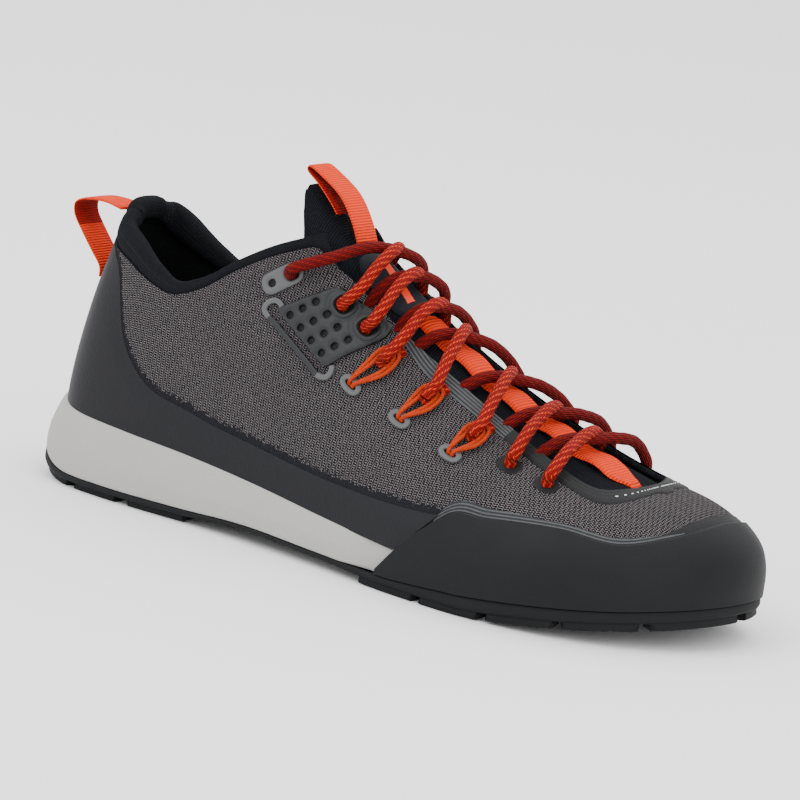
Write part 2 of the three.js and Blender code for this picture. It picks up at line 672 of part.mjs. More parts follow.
// Height of the underside, straight across between the two edges of the outline
function underside(x, y) {
  const t = stationAt(x);
  const [near, far] = [footAt(t), footAt(STATIONS - t)];
  return mix(near.rise, far.rise, clamp((y - near.y) / Math.max(far.y - near.y, 1), 0, 1));
}

function edgeLug(from, to) {
  return sheetSolid(2, 1, (u, v, side) => {
    const t = mix(from, to, u);
    const outer = footAt(t);
    const inset = side ? LUG_WIDTH : 1.2 + 0.12 * outer.skin;
    const p = footAt(t, v ? inset : inset + (side ? -0.8 : 0.6));
    return new THREE.Vector3(p.x, p.y, underside(p.x, p.y) + (v ? LUG_DEPTH + 0.9 : 0));
  });
}

function innerLug(row) {
  const [long, wide] = [row.length * LENGTH, row.width * BALL_WIDTH];
  return sheetSolid(2, 1, (u, v, side) => {
    const y = (u - 0.5) * wide + row.across * BALL_WIDTH;
    const chevron = Math.abs(u - 0.5) * 2 * -6;
    const x = row.along * LENGTH + (side ? -0.5 : 0.5) * long * 0.6 + chevron;
    return new THREE.Vector3(x, y, underside(x, y) + (v ? LUG_DEPTH + 0.9 : 0));
  });
}

const lugs = EDGE_LUGS.flatMap(({ from, to }) => (from < 0
  ? [edgeLug(from, to)]
  : [edgeLug(from, to), ...(from > 1.7 ? [edgeLug(STATIONS - to, STATIONS - from)] : [])]));
add('outsole', join([plate, ...lugs, ...INNER_LUGS.map(innerLug)]), 'rubber');

// Midsole: foam wedge from heel to toe, under the rand in the forefoot
const foamSide = (share) => (p, t) => share * p.flare * (1 - randCover(t)) + foamInset(p, t);
const foamFoot = (p, t) => Math.max(0.06 * p.skin, foamInset(p, t));
const foamLevel = (share) => (p) => mix(p.rise + p.skin + GAP, p.seat - GAP, share);
const innerFoot = (p, t) => Math.max(0.06 * p.skin + LIP + 0.5, foamInset(p, t) + 0.2);
add('midsole', ringSolid([
  ringAt(innerFoot, (p) => p.rise + FLOOR + 0.4),
  ringAt(innerFoot, (p) => p.rise + p.skin + GAP),
  ringAt(foamFoot, (p) => p.rise + p.skin + GAP + 0.05),
  ringAt(foamSide(0.25), foamLevel(0.4)),
  ringAt(foamSide(0.72), foamLevel(0.85)),
  ringAt(foamSide(1), foamLevel(1)),
  ringAt((p) => insoleInset(p) - 0.2, foamLevel(1)),
  ringAt((p) => insoleInset(p) + 1.5, (p) => p.seat - RECESS),
]), 'foam');

// Upper: one hollow knit shell, open underneath, at the collar and at the throat
add('upper', sheetSolid(GRID.length, 5, (u, v, side) => {
  const t = GRID[Math.round(u * GRID.length) % GRID.length];
  const share = v ** 0.85;
  return skinPoint(t, Math.max(0.001, edgeAngle(t) * share), side ? -UPPER_WALL : 0);
}, true), 'knit');

// Rand: rubber band from the outsole seam up round the forefoot
const RAND_GRID = roundToe(RAND_START, [8.12, 8.38, 8.62]);
add('rand', sheetSolid(RAND_GRID.length - 1, 5, (u, v, side) => {
  const t = pick(RAND_GRID, u);
  const p = footAt(t);
  const foot = p.rise + p.skin + GAP;
  const top = Math.max(foot + 1, along(RAND_LINE, 'station', 'height', sideStation(t)) * HEEL_HEIGHT);
  return wallPoint(t, mix(foot, top, v), side ? 1.5 * GAP : 1.5 * GAP + RAND_THICKNESS * (v === 1 ? 0.6 : 1));
}), 'rubber');

// Heel counter: stiff film round the heel, running forward to the rand
const COUNTER_GRID = roundHeel(7.5).filter((t) => Math.abs(t) < 3.1 || Math.abs(t * 2 - Math.round(t * 2)) < 0.01);
const COUNTER_COLUMNS = [-COUNTER_TOP_END, ...COUNTER_GRID, COUNTER_TOP_END];
add('heel_counter', sheetSolid(COUNTER_COLUMNS.length - 1, 3, (u, v, side) => {
  const column = pick(COUNTER_COLUMNS, u);
  const end = mix(COUNTER_FOOT_END, COUNTER_TOP_END, v);
  const t = clamp(column, -end, end);
  const s = sectionAt(t);
  const top = Math.min(along(COUNTER_LINE, 'station', 'height', sideStation(t)) * HEEL_HEIGHT,
    rimHeight(t) - bandHeight(t) - 1);
  return wallPoint(t, mix(s.seat + 0.4, top, v), side ? COUNTER_LIFT : COUNTER_LIFT + FILM_THICKNESS);
}), 'film');

// Collar: padded roll standing on the top edge of the upper
const COLLAR_GRID = roundHeel(COLLAR_END);
add('collar', sweepSolid(COLLAR_GRID.map((t) => {
  const low = edgeAngle(t);
  const base = skinPoint(t, low, 0);
  const thick = skinPoint(t, low, 1).sub(base);
  const rise = skinPoint(t, angleAt(t, rimHeight(t)), 0).sub(base);
  const up = rise.addScaledVector(thick, -rise.dot(thick));
  const size = Math.max(up.length(), 2);
  up.normalize();
  const half = 0.5 * (padDepth(t) + 0.6);
  return { point: base.addScaledVector(up, 2.4 * GAP + size / 2).addScaledVector(thick, 0.6 - half),
    wide: thick.multiplyScalar(half),
    thick: up.multiplyScalar(size / 2) };
}), [[1, -0.7], [1, 0.2], [0.6, 0.85], [0, 1], [-0.7, 0.75], [-1, 0.1], [-0.9, -0.95], [0.75, -0.95]]), 'lining');

// Tongue under the throat, from above the instep to the vamp
const ridgeAcross = (x) => along(SPINE, 'along', 'across', x / LENGTH) * BALL_WIDTH;
const tongueValue = (x, column) => along(TONGUE, 'along', column, x / LENGTH) * BALL_WIDTH;
add('tongue', sheetSolid(18, 6, (u, v, side) => {
  const x = mix(TONGUE[0].along, TONGUE[TONGUE.length - 1].along, u) * LENGTH;
  const s = 2 * v - 1;
  const rounding = u === 0 ? 3 * s * s : 0;
  const lift = -tongueValue(x, 'drop') - (side ? TONGUE_THICKNESS : 0);
  return roofPoint(x + rounding, ridgeAcross(x) + s * tongueValue(x, 'half'), lift);
}), 'tongue');

// Insole inside the upper, on the midsole
add('insole', ringSolid([
  ringAt(insoleInset, (p) => p.seat),
  ringAt(insoleInset, (p) => p.seat + INSOLE_THICKNESS * 0.7),
  ringAt((p) => insoleInset(p) + 2, (p) => p.seat + INSOLE_THICKNESS),
]), 'lining');

// Throat trim: ribbed band on the throat edge, round the front
const TRIM_GRID = roundToe(TRIM_START);
add('throat_trim', sheetSolid(TRIM_GRID.length - 1, 1, (u, v, side) => {
  const t = pick(TRIM_GRID, u);
  const angle = throatAngle(t, v ? 0.4 : THROAT_TRIM_WIDTH);
  return skinPoint(t, angle, side ? 1.5 * GAP : 1.5 * GAP + 0.6);
}), 'trim');

// Webbing straps: ribbons with their width across the shoe
const loopClearance = COUNTER_LIFT + FILM_THICKNESS + GAP + WEBBING_THICKNESS / 2;
const behindHeel = (row) => skinPoint(0, angleAt(0, row.up * HEEL_HEIGHT), 0).x - loopClearance - row.back * LENGTH;
const midPlane = (rows) => rows.map((row) => new THREE.Vector3(
  row.back === undefined ? row.along * LENGTH : behindHeel(row), 0, row.up * HEEL_HEIGHT,
));
const sideways = new THREE.Vector3(0, 1, 0);

function strap(rows, across, width, count) {
  const path = pathThrough(midPlane(rows), count, () => sideways);
  path.forEach((place) => {
    place.point.y = across;
    place.thick = place.wide.clone();
    place.wide = sideways;
  });
  return sweepSolid(path, barSection(width, WEBBING_THICKNESS));
}
add('heel_loop', strap(HEEL_LOOP, -0.02 * BALL_WIDTH, HEEL_LOOP_WIDTH, 18), 'webbing');
add('tongue_tab', strap(PULL_TAB, 0.02 * BALL_WIDTH, PULL_TAB_WIDTH, 16), 'webbing');

// Webbing and badge lying on the tongue
function tonguePatch(place, width, thickness, columns, rows) {
  return sheetSolid(columns, rows, (u, v, side) => {
    const x = mix(place.from, place.to, u) * LENGTH;
    const y = ridgeAcross(x) + (2 * v - 1) * 0.5 * width(u);
    return roofPoint(x, y, GAP - tongueValue(x, 'drop') + (side ? 0.1 : thickness));
  });
}
const BADGE = { from: 0.438, to: 0.518 };
const WEBBING = { from: 0.523, to: 0.862 };
const badgeWidth = (u) => 0.235 * BALL_WIDTH * (u < 0.2 || u > 0.8 ? 0.8 : 1);
add('tongue_badge', tonguePatch(BADGE, badgeWidth, 1.3, 5, 4), 'badge');
add('tongue_webbing', tonguePatch(WEBBING, () => TONGUE_WEBBING_WIDTH, 1, 18, 2), 'webbing');

// Eyestay wings with their holes, anchors, eyelet plates, grommets and cord loops on both sides
const sides = [
  { word: 'lateral', place: (t) => t },
  { word: 'medial', place: (t) => STATIONS - t },
];

function drapedPlate(frame, columns, rows, flat, low, high) {
  return sheetSolid(columns, rows, (u, v, side) => {
    const [a, b] = flat(u, v);
    return drape(frame, a, b, side ? low : high);
  });
}

function rod(frame, a, b, radius, corners) {
  const low = drape(frame, a, b, -1);
  const high = drape(frame, a, b, 4);
  const path = [low, high].map((point) => ({ point, wide: frame.forward, thick: frame.up }));
  return sweepSolid(path, circleSection(radius, corners));
}

function drapedLine(frame, points, count, closed, lift) {
  const line = points.map(([a, b]) => drape(frame, a, b, lift));
  return pathThrough(line, count, () => frame.normal, closed);
}

const wingFrame = (place) => frameAt(place(WING.station - (place(0) ? WING.setBack : 0)), WING.angle, WING.turn);
const plateFrame = (place) => frameAt(place(EYELET_PLATE.station - (place(0) ? EYELET_PLATE.setBack : 0)),
  EYELET_PLATE.angle, EYELET_PLATE.turn);
for (const { word, place } of sides) {
  const frame = wingFrame(place);
  const wing = drapedPlate(frame, 4, 3, (u, v) => [
    mix(mix(-WING.rear / 2, WING.rear / 2, u), mix(-5.3, 20.2, u), v),
    v * mix(22.3, 26.5, u),
  ], 2 * GAP, 2 * GAP + PLATE_THICKNESS);
  const holes = WING_EYELETS.map((e) => rod(frame, e.forward, e.up, LACE_RADIUS + 0.5, 8));
  for (let i = 0; i < WING_HOLE_COLUMNS; i++) {
    for (let j = 0; j < WING_HOLE_ROWS; j++) {
      holes.push(rod(frame, -6.3 + 6.5 * i - 1.6 * j, 12.8 - 5.1 * j, WING_HOLE_RADIUS, 5));
    }
  }
  add(`eyestay_wing_${word}`, cut(wing, holes), 'plate');
  const anchorLine = [[-14.6, 2.2], [-17.6, 2], [-19, -0.8], [-18, -3.2], [-10, -3.4], [0, -3.4],
    [10, -3.4], [15.4, -3.2], [17.9, -1], [17.2, 2]];
  const anchor = drapedLine(frame, anchorLine.map(([a, b]) => [a * 1.02, b - 0.4]), 15, false, GAP + 0.8);
  add(`wing_anchor_${word}`, sweepSolid(anchor, barSection(1.9, 1.4)), 'trim');
  const top = plateFrame(place);
  const capsule = drapedPlate(top, 6, 2, (u, v) => {
    const a = 2 * u - 1;
    const ends = Math.max(0, Math.abs(a) - 0.5) / 0.5;
    return [a * 0.5 * EYELET_PLATE.length, (2 * v - 1) * 0.5 * EYELET_PLATE.width * (1 - 0.6 * ends ** 2)];
  }, GAP, GAP + PLATE_THICKNESS);
  const open = rod(top, -0.5 * EYELET_PLATE.length + 0.5 * EYELET_PLATE.width, 0, 1.5, 6);
  const laced = rod(top, 0.5 * EYELET_PLATE.length - 0.5 * EYELET_PLATE.width, 0, LACE_RADIUS + 0.5, 8);
  add(`eyelet_plate_${word}`, cut(capsule, [open, laced]), 'trim');
}

// Place of a lace row on one side of the ridge, moved outwards down the side by a length
function lacePlace(row, side, outwards = 0) {
  const x = row.along * LENGTH;
  const y = ridgeAcross(x) + side * (row.reach * BALL_WIDTH + outwards);
  return { x, y, ...planToLast(x, y) };
}

LACE_ROWS.forEach((row, index) => {
  if (!row.loop) return;
  for (const [word, side] of [['lateral', -1], ['medial', 1]]) {
    const turn = lacePlace(row, side);
    const top = frameAt(turn.t, turn.angle);
    const reach = row.loop * BALL_WIDTH;
    const oval = Array.from({ length: 8 }, (_, k) => {
      const a = (2 * Math.PI * k) / 8;
      const bow = Math.abs(Math.cos(a)) ** 0.6 * Math.sign(Math.cos(a));
      return [-0.18 * reach + 0.5 * (GROMMET.length - 2 * GROMMET.ring) * bow,
        -reach + 0.5 * (GROMMET.width - 2 * GROMMET.ring) * Math.sin(a)];
    });
    const ring = drapedLine(top, oval, 10, true, 2 * GAP + 0.6);
    add(`loop_grommet_${index}_${word}`, sweepSolid(ring, barSection(2 * GROMMET.ring, 1.3), true), 'trim');
    const cord = [[-0.18 * reach - 1.2, -reach, 3.5], [-2, -0.5 * reach, 2.4], [-2, 0, 1.6],
      [0, 2, 1.6], [2, 0, 1.6], [2, -0.5 * reach, 2.4], [-0.18 * reach + 1.5, -reach, 3.5]]
      .map(([a, b, lift]) => drape(top, a, b, lift));
    const path = pathThrough(cord, 9, () => top.normal);
    add(`lace_loop_${index}_${word}`, sweepSolid(path, circleSection(LOOP_CORD_RADIUS, 5)), 'cord');
  }
});

// Start of a strand: over the hole of the plate or wing, over the cord loop, or over the eyelet
function strandStart(index, side) {
  const { place } = sides[side < 0 ? 0 : 1];
  const lifts = LACE_ROWS[index].loop ? [5.4, 6.4] : [3.2, 4.6];
  const row = lacePlace(LACE_ROWS[index], side);
  if (index > 2) return { ...row, points: lifts.map((lift) => skinPoint(row.t, row.angle, lift)) };
  const hole = index ? WING_EYELETS[index - 1] : { forward: 0.5 * (EYELET_PLATE.length - EYELET_PLATE.width), up: 0 };
  const frame = index ? wingFrame(place) : plateFrame(place);
  const points = [4.3, 5.6].map((lift) => drape(frame, hole.forward, hole.up, lift));
  return { x: points[0].x, y: points[0].y, points };
}

// Lace strand: from a row over the throat edge to the far edge nearer the ankle
function strand(index, side, middleLift) {
  const { dive, bow } = LACE_ROWS[index];
  const start = strandStart(index, side);
  const x = mix(LACE_ROWS[index].along, LACE_ROWS[index - 1].along, dive) * LENGTH;
  const half = along(SPINE, 'along', 'gap', x / LENGTH) * BALL_WIDTH;
  const end = { x, y: ridgeAcross(x) - side * (half - 3.6) };
  const stops = [
    [0.2, 6], [0.38, mix(5.6, middleLift, 0.5)], [0.56, middleLift],
    [0.75, mix(middleLift, 2.4, 0.45)], [0.9, 1.8],
    [1.0, LACE_RADIUS + GAP - tongueValue(x, 'drop') + (index === 2 ? 1.8 : 0)],
  ];
  const rest = stops.map(([f, lift]) => roofPoint(
    mix(start.x, end.x, f) + 4 * f * (1 - f) * bow * BALL_WIDTH, mix(start.y, end.y, f), lift,
  ));
  const hint = new THREE.Vector3(0.45, 0, 1).normalize();
  return sweepSolid(pathThrough([...start.points, ...rest], 8, () => hint), circleSection(LACE_RADIUS, 5));
}

// The last crossing of the ankle end runs on to the top eyelet plates
function topStrand(side) {
  const low = strandStart(1, side);
  const high = strandStart(0, -side);
  const stops = [[0.2, 6], [0.4, 4.6], [0.6, 3.8], [0.8, 5]];
  const middle = stops.map(([f, lift]) => roofPoint(
    mix(low.x, high.x, f) + 4 * f * (1 - f) * LACE_ROWS[1].bow * BALL_WIDTH, mix(low.y, high.y, f), lift,
  ));
  const hint = new THREE.Vector3(0.45, 0, 1).normalize();
  const line = [...low.points, ...middle, high.points[1], high.points[0]];
  return sweepSolid(pathThrough(line, 9, () => hint), circleSection(LACE_RADIUS, 5));
}
for (let i = 1; i < LACE_ROWS.length; i++) {
  const over = strand(i, -1, 5.8);
  const under = i > 1 ? strand(i, 1, 2.8) : topStrand(1);
  add(`lace_crossing_${i}`, join([over, under]), 'lace');
}

// Rest the shoe on the floor with the middle of its box over the origin
const box = new THREE.Box3().setFromObject(group);
const centre = box.getCenter(new THREE.Vector3());
group.children.forEach((mesh) => mesh.position.set(-centre.x, -centre.y, -box.min.z));

export default group;
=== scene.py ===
import math
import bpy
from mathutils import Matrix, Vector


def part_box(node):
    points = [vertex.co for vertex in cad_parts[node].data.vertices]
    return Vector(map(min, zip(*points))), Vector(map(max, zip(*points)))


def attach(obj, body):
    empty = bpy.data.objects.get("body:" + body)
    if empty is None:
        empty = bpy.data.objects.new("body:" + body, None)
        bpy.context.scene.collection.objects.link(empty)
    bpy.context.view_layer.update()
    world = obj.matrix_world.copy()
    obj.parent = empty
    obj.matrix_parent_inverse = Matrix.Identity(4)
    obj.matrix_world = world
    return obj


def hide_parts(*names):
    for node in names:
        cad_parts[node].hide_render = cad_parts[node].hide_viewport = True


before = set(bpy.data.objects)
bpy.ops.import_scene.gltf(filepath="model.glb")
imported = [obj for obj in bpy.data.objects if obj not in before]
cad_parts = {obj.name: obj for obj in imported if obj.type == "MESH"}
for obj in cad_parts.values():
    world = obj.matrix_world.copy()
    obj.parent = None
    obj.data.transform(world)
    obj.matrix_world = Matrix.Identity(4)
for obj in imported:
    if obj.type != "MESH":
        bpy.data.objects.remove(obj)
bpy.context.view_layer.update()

from types import SimpleNamespace

import bpy
import numpy as np
from mathutils import Matrix, Vector, geometry

bl_info = {
    "name": "Approach shoe",
    "version": (1, 0, 0),
    "blender": (4, 5, 0),
    "location": "View3D > Sidebar > Shoe",
    "description": "Builds the surfaces and finishes of a right approach shoe on its frame",
    "category": "Object",
}

# Driving sizes of the shoe in millimetres
LENGTH = 299.5
BALL_WIDTH = 102.0
STACK = 34.0
INSTEP_HEIGHT = 104.0
HEEL_HEIGHT = 109.0
UPPER_WALL = 2.0
RAND_THICKNESS = 2.0
FILM_THICKNESS = 0.7
TONGUE_THICKNESS = 3.2
INSOLE_THICKNESS = 4.0
LUG_DEPTH = 2.4
LACE_RADIUS = 2.3
LOOP_CORD_RADIUS = 0.76
LOOP_LEAN = 0.18
WEBBING_THICKNESS = 1.2
HEEL_LOOP_WIDTH = 14.0
PULL_TAB_WIDTH = 12.5
TONGUE_WEBBING_WIDTH = 15.0
PLATE_THICKNESS = 1.3
THROAT_END = 4.0
MEDIAL_FULLNESS = 0.6
THROAT_TRIM_WIDTH = 6.0
GAP = 0.3
LEDGE = 0.8
LUG_WIDTH = 13.0


def table(columns, rows):
    """Columns of a short table by name, as arrays."""
    return dict(zip(columns.split(), np.array(rows, float).T))


# Outline of the sole from the heel centre along the lateral side to the toe and back:
# along in LENGTH; across, flare in BALL_WIDTH; rise, seat, skin in STACK; lean in HEEL_HEIGHT
OUTLINE = table("along across rise seat flare skin lean", [
    (0.000, 0.010, 0.176, 1.000, 0.071, 0.33, 0.072),
    (0.008, -0.137, 0.132, 0.970, 0.067, 0.30, 0.075),
    (0.033, -0.255, 0.053, 0.897, 0.059, 0.21, 0.083),
    (0.083, -0.333, 0.000, 0.853, 0.044, 0.15, 0.050),
    (0.167, -0.363, 0.000, 0.809, 0.039, 0.14, 0.009),
    (0.277, -0.368, 0.012, 0.750, 0.031, 0.14, 0),
    (0.384, -0.382, 0.059, 0.662, 0.029, 0.13, 0),
    (0.501, -0.417, 0.035, 0.559, 0.022, 0.13, 0),
    (0.618, -0.466, 0.000, 0.485, 0.015, 0.16, 0),
    (0.725, -0.485, 0.000, 0.426, 0.012, 0.22, 0),
    (0.825, -0.451, 0.088, 0.456, 0.012, 0.22, 0),
    (0.902, -0.358, 0.171, 0.515, 0.012, 0.21, 0),
    (0.958, -0.216, 0.235, 0.574, 0.012, 0.21, 0),
    (0.990, -0.059, 0.282, 0.612, 0.012, 0.20, 0),
    (1.000, 0.088, 0.294, 0.624, 0.012, 0.20, 0),
    (0.992, 0.225, 0.276, 0.618, 0.012, 0.20, 0),
    (0.962, 0.353, 0.235, 0.582, 0.012, 0.21, 0),
    (0.905, 0.451, 0.176, 0.529, 0.012, 0.21, 0),
    (0.821, 0.500, 0.088, 0.471, 0.012, 0.22, 0),
    (0.725, 0.495, 0.000, 0.435, 0.012, 0.22, 0),
    (0.624, 0.436, 0.000, 0.500, 0.005, 0.16, 0),
    (0.518, 0.358, 0.088, 0.603, -0.022, 0.13, 0),
    (0.391, 0.314, 0.147, 0.706, -0.020, 0.13, 0),
    (0.277, 0.324, 0.074, 0.779, 0.010, 0.14, 0),
    (0.167, 0.338, 0.000, 0.824, 0.039, 0.14, 0.009),
    (0.083, 0.324, 0.000, 0.853, 0.044, 0.15, 0.050),
    (0.033, 0.260, 0.053, 0.897, 0.059, 0.21, 0.083),
    (0.008, 0.147, 0.132, 0.970, 0.067, 0.30, 0.075),
])
STATIONS = 28
TOE = 14

# Ridge of the last: shares of LENGTH, BALL_WIDTH and INSTEP_HEIGHT, exponents, throat half width
SPINE = table("along across ridge plan side gap", [
    (0.164, -0.010, 1.690, 2.0, 1.75, 0.17),
    (0.267, -0.010, 1.460, 2.2, 1.70, 0.17),
    (0.351, 0.000, 1.270, 2.3, 1.70, 0.17),
    (0.411, 0.010, 1.125, 2.2, 1.65, 0.168),
    (0.467, 0.020, 1.000, 2.1, 1.60, 0.157),
    (0.534, 0.034, 0.856, 2.0, 1.60, 0.154),
    (0.611, 0.049, 0.726, 2.0, 1.65, 0.157),
    (0.684, 0.064, 0.625, 2.0, 1.80, 0.175),
    (0.758, 0.078, 0.543, 2.1, 2.00, 0.211),
    (0.838, 0.093, 0.466, 2.3, 2.30, 0.245),
])
# Collar by station: rim height, width of its band and thickness of the pad in HEEL_HEIGHT
COLLAR = table("station rim band pad", [
    (0.0, 1.000, 0.070, 0.060), (1.0, 0.995, 0.070, 0.060), (2.0, 0.970, 0.075, 0.058),
    (3.0, 0.935, 0.090, 0.055), (3.6, 0.895, 0.085, 0.062), (4.1, 0.830, 0.065, 0.052),
    (4.45, 0.790, 0.042, 0.045), (4.8, 0.825, 0.038, 0.040), (5.2, 0.905, 0.035, 0.036),
    (5.6, 0.975, 0.035, 0.034), (6.0, 1.030, 0.035, 0.032), (6.6, 1.120, 0.035, 0.032),
])
COLLAR_END = 5.75
COLLAR_RUN = 0.5
MEDIAL_ROLL = SimpleNamespace(rise=3.5, station=2.9, spread=0.75)
# Top lines of the counter film and of the rand: height in HEEL_HEIGHT
COUNTER_LINE = table("station height", [
    (0, 0.83), (3, 0.83), (3.4, 0.76), (3.8, 0.55), (4.15, 0.452), (5, 0.372), (6, 0.325),
    (7, 0.290), (8, 0.285), (9, 0.300),
])
RAND_LINE = table("station height", [
    (7.85, 0.070), (8.12, 0.165), (8.45, 0.255), (8.62, 0.297), (9.1, 0.314), (10, 0.332),
    (11, 0.318), (12, 0.350), (13, 0.373), (14, 0.381),
])
TRIM_START = 7.15
TRIM_DARK_FROM = 208.0
# Tongue: half width and depth under the roof in BALL_WIDTH
TONGUE = table("along half drop", [
    (0.342, 0.160, 0.050), (0.380, 0.195, 0.052), (0.430, 0.205, 0.046), (0.490, 0.225, 0.031),
    (0.600, 0.245, 0.027), (0.780, 0.270, 0.027), (0.840, 0.250, 0.028), (0.880, 0.190, 0.030),
])
# Lace rows from the top: reach of the turns from the ridge, reach of the cord loops and bow in
# BALL_WIDTH, dive towards the row above as a share of their distance
LACE_ROWS = table("along reach loop dive bow", [
    (0.378, 0.243, 0, 0, 0), (0.443, 0.216, 0, 0.10, 0.03), (0.481, 0.208, 0, 0.10, 0),
    (0.527, 0.240, 0.150, 0.20, 0), (0.596, 0.258, 0.128, 0.70, 0), (0.669, 0.285, 0.110, 0.70, 0),
    (0.724, 0.303, 0, 0.70, 0), (0.776, 0.305, 0, 0.70, 0),
])
TOP_LACE_BOW = 0.085
WING = SimpleNamespace(station=6.25, angle=0.700, turn=-0.05, set_back=0.12)
# Flat corners, eyelets and vents of the wing in millimetres
WING_CORNERS = [(-15.2, 0), (15.2, 0), (16.6, 7), (21.4, 21.5), (19.6, 27.0), (-5.3, 22.3)]
WING_EYELETS = [(1.9, 19.2), (14.4, 20.2)]
WING_VENT = 2.8
EYELET_PLATE = SimpleNamespace(station=5.84, angle=0.83, set_back=0.05, turn=1.22, length=16.5, width=8.2)
GROMMET = SimpleNamespace(length=9.6, width=5.8, ring=1.05)
# Heel loop: distance behind the counter in LENGTH, height in HEEL_HEIGHT
HEEL_LOOP = table("back up", [
    (-0.0051, 0.950), (0.0226, 0.962), (0.0520, 0.957), (0.0674, 0.935), (0.0637, 0.900),
    (0.0437, 0.845), (0.0176, 0.780), (0.0029, 0.735), (0.0000, 0.695),
])
PULL_TAB = table("along up", [
    (0.425, 1.005), (0.411, 1.085), (0.390, 1.160), (0.362, 1.210), (0.338, 1.238),
    (0.336, 1.228), (0.356, 1.185), (0.376, 1.135), (0.388, 1.098),
])
# Lugs along the edge of the sole, from one station to another
EDGE_LUGS = [(-1.55, -0.12), (0.12, 1.55), (1.8, 3.1), (3.25, 4.1), (4.25, 5.1), (7.6, 8.4),
             (8.45, 9.3), (9.35, 10.3), (10.35, 11.6), (11.65, 13.9)]
# Lugs across the sole: middle and length along in LENGTH, width in BALL_WIDTH
CROSS_LUGS = [(0.14, 0.06, 0.24), (0.24, 0.06, 0.26), (0.66, 0.06, 0.48), (0.77, 0.06, 0.50)]
# Stretches of the patch and of the ribbon on the tongue in LENGTH, and the bar on the patch
BADGE = (0.438, 0.518)
BADGE_BAR = SimpleNamespace(middle=143.0, width=4.8, length=16.0)
WEBBING = (0.523, 0.834)


def smooth(low, high, x):
    """Soft step from 0 below low to 1 above high."""
    f = np.clip((np.asarray(x, float) - low) / (high - low), 0, 1)
    return f * f * (3 - 2 * f)


def unit(v):
    """Vectors of length 1."""
    return v / np.maximum(np.linalg.norm(v, axis=-1, keepdims=True), 1e-12)


def cubic(rows, by, name, x):
    """Cubic Hermite curve through the rows of an open table, with weighted mean slopes."""
    xs, ys = rows[by], rows[name]
    q = np.clip(x, xs[0], xs[-1])
    i = np.clip(np.searchsorted(xs, q, side="left") - 1, 0, len(xs) - 2)
    span = np.diff(xs)
    slope = np.diff(ys) / span
    inner = (slope[:-1] * span[1:] + slope[1:] * span[:-1]) / (span[:-1] + span[1:])
    tangent = np.concatenate([slope[:1], inner, slope[-1:]])
    f = (q - xs[i]) / span[i]
    g = 1 - f
    return ((1 + 2 * f) * g * g * ys[i] + f * g * g * span[i] * tangent[i]
            + f * f * (3 - 2 * f) * ys[i + 1] - f * f * g * span[i] * tangent[i + 1])


def outline(name, t):
    """Closed uniform cubic through the outline rows: value and slope."""
    t = np.asarray(t, float)
    i = np.floor(t).astype(int)
    f = t - i
    a, b, c, d = (OUTLINE[name][(i + k) % STATIONS] for k in (-1, 0, 1, 2))
    p = c - a
    q = 2 * a - 5 * b + 4 * c - d
    r = 3 * b - a - 3 * c + d
    return 0.5 * (2 * b + p * f + q * f * f + r * f ** 3), 0.5 * (p + 2 * q * f + 3 * r * f * f)


def foot_at(t, inset=0.0):
    """Outline point moved inwards, with the outward direction and the heights there."""
    x, dx = outline("along", t)
    y, dy = outline("across", t)
    dx, dy = dx * LENGTH, dy * BALL_WIDTH
    size = np.hypot(dx, dy)
    ox, oy = dy / size, -dx / size
    return SimpleNamespace(
        x=x * LENGTH - ox * inset, y=y * BALL_WIDTH - oy * inset, ox=ox, oy=oy,
        rise=np.maximum(0, outline("rise", t)[0] * STACK), seat=outline("seat", t)[0] * STACK,
        flare=outline("flare", t)[0] * BALL_WIDTH, skin=outline("skin", t)[0] * STACK,
        lean=np.maximum(0, outline("lean", t)[0] * HEEL_HEIGHT),
    )


def soft_plus(x, width):
    """Smooth positive part of x."""
    return width * np.log1p(np.exp(x / width))


def section_at(t):
    """Cross-section of the last that an outline point belongs to; lines fan out at both ends."""
    s = foot_at(t)
    inset = s.flare + LEDGE
    s.x, s.y = s.x - s.ox * inset, s.y - s.oy * inset
    first, final = SPINE["along"][0] * LENGTH, SPINE["along"][-1] * LENGTH
    width = 0.027 * LENGTH
    a = first + soft_plus(s.x - first, width)
    s.cx = final - soft_plus(final - a, width)
    share = s.cx / LENGTH
    s.cy = cubic(SPINE, "along", "across", share) * BALL_WIDTH
    s.ridge = cubic(SPINE, "along", "ridge", share) * INSTEP_HEIGHT
    medial = np.maximum(0, -np.sin(np.pi * np.asarray(t, float) / TOE))
    s.plan = cubic(SPINE, "along", "plan", share) + MEDIAL_FULLNESS * medial
    s.side = cubic(SPINE, "along", "side", share)
    s.gap = cubic(SPINE, "along", "gap", share) * BALL_WIDTH
    return s


def last_point(t, angle):
    """Point of the last: superellipse section, angle 0 at the seat and a right angle on the ridge."""
    t, angle = np.broadcast_arrays(np.asarray(t, float), np.asarray(angle, float))
    s = section_at(t)
    rho = np.abs(np.cos(angle)) ** (2 / s.plan)
    zeta = np.abs(np.sin(angle)) ** (2 / s.side)
    z = s.seat + (s.ridge - s.seat) * zeta
    lean = s.lean * np.clip((z - s.seat) / (HEEL_HEIGHT - s.seat), 0, 1.4) ** 1.3
    return np.stack([s.cx + (s.x - s.cx) * rho - s.ox * lean,
                     s.cy + (s.y - s.cy) * rho - s.oy * lean, z], -1)


def skin_point(t, angle, lift):
    """Point at a distance from the last along its normal, outside for a positive lift."""
    step = 0.002
    up = last_point(t, np.minimum(angle + step, np.pi / 2)) - last_point(t, np.maximum(angle - step, 0))
    forward = last_point(t + step, angle) - last_point(t - step, angle)
    normal = unit(np.cross(forward, up))
    return last_point(t, angle) + normal * np.asarray(lift, float)[..., None]


def angle_at(t, z):
    """Angle at which the section reaches a height."""
    s = section_at(t)
    return np.arcsin(np.clip((z - s.seat) / (s.ridge - s.seat), 0, 1) ** (s.side / 2))


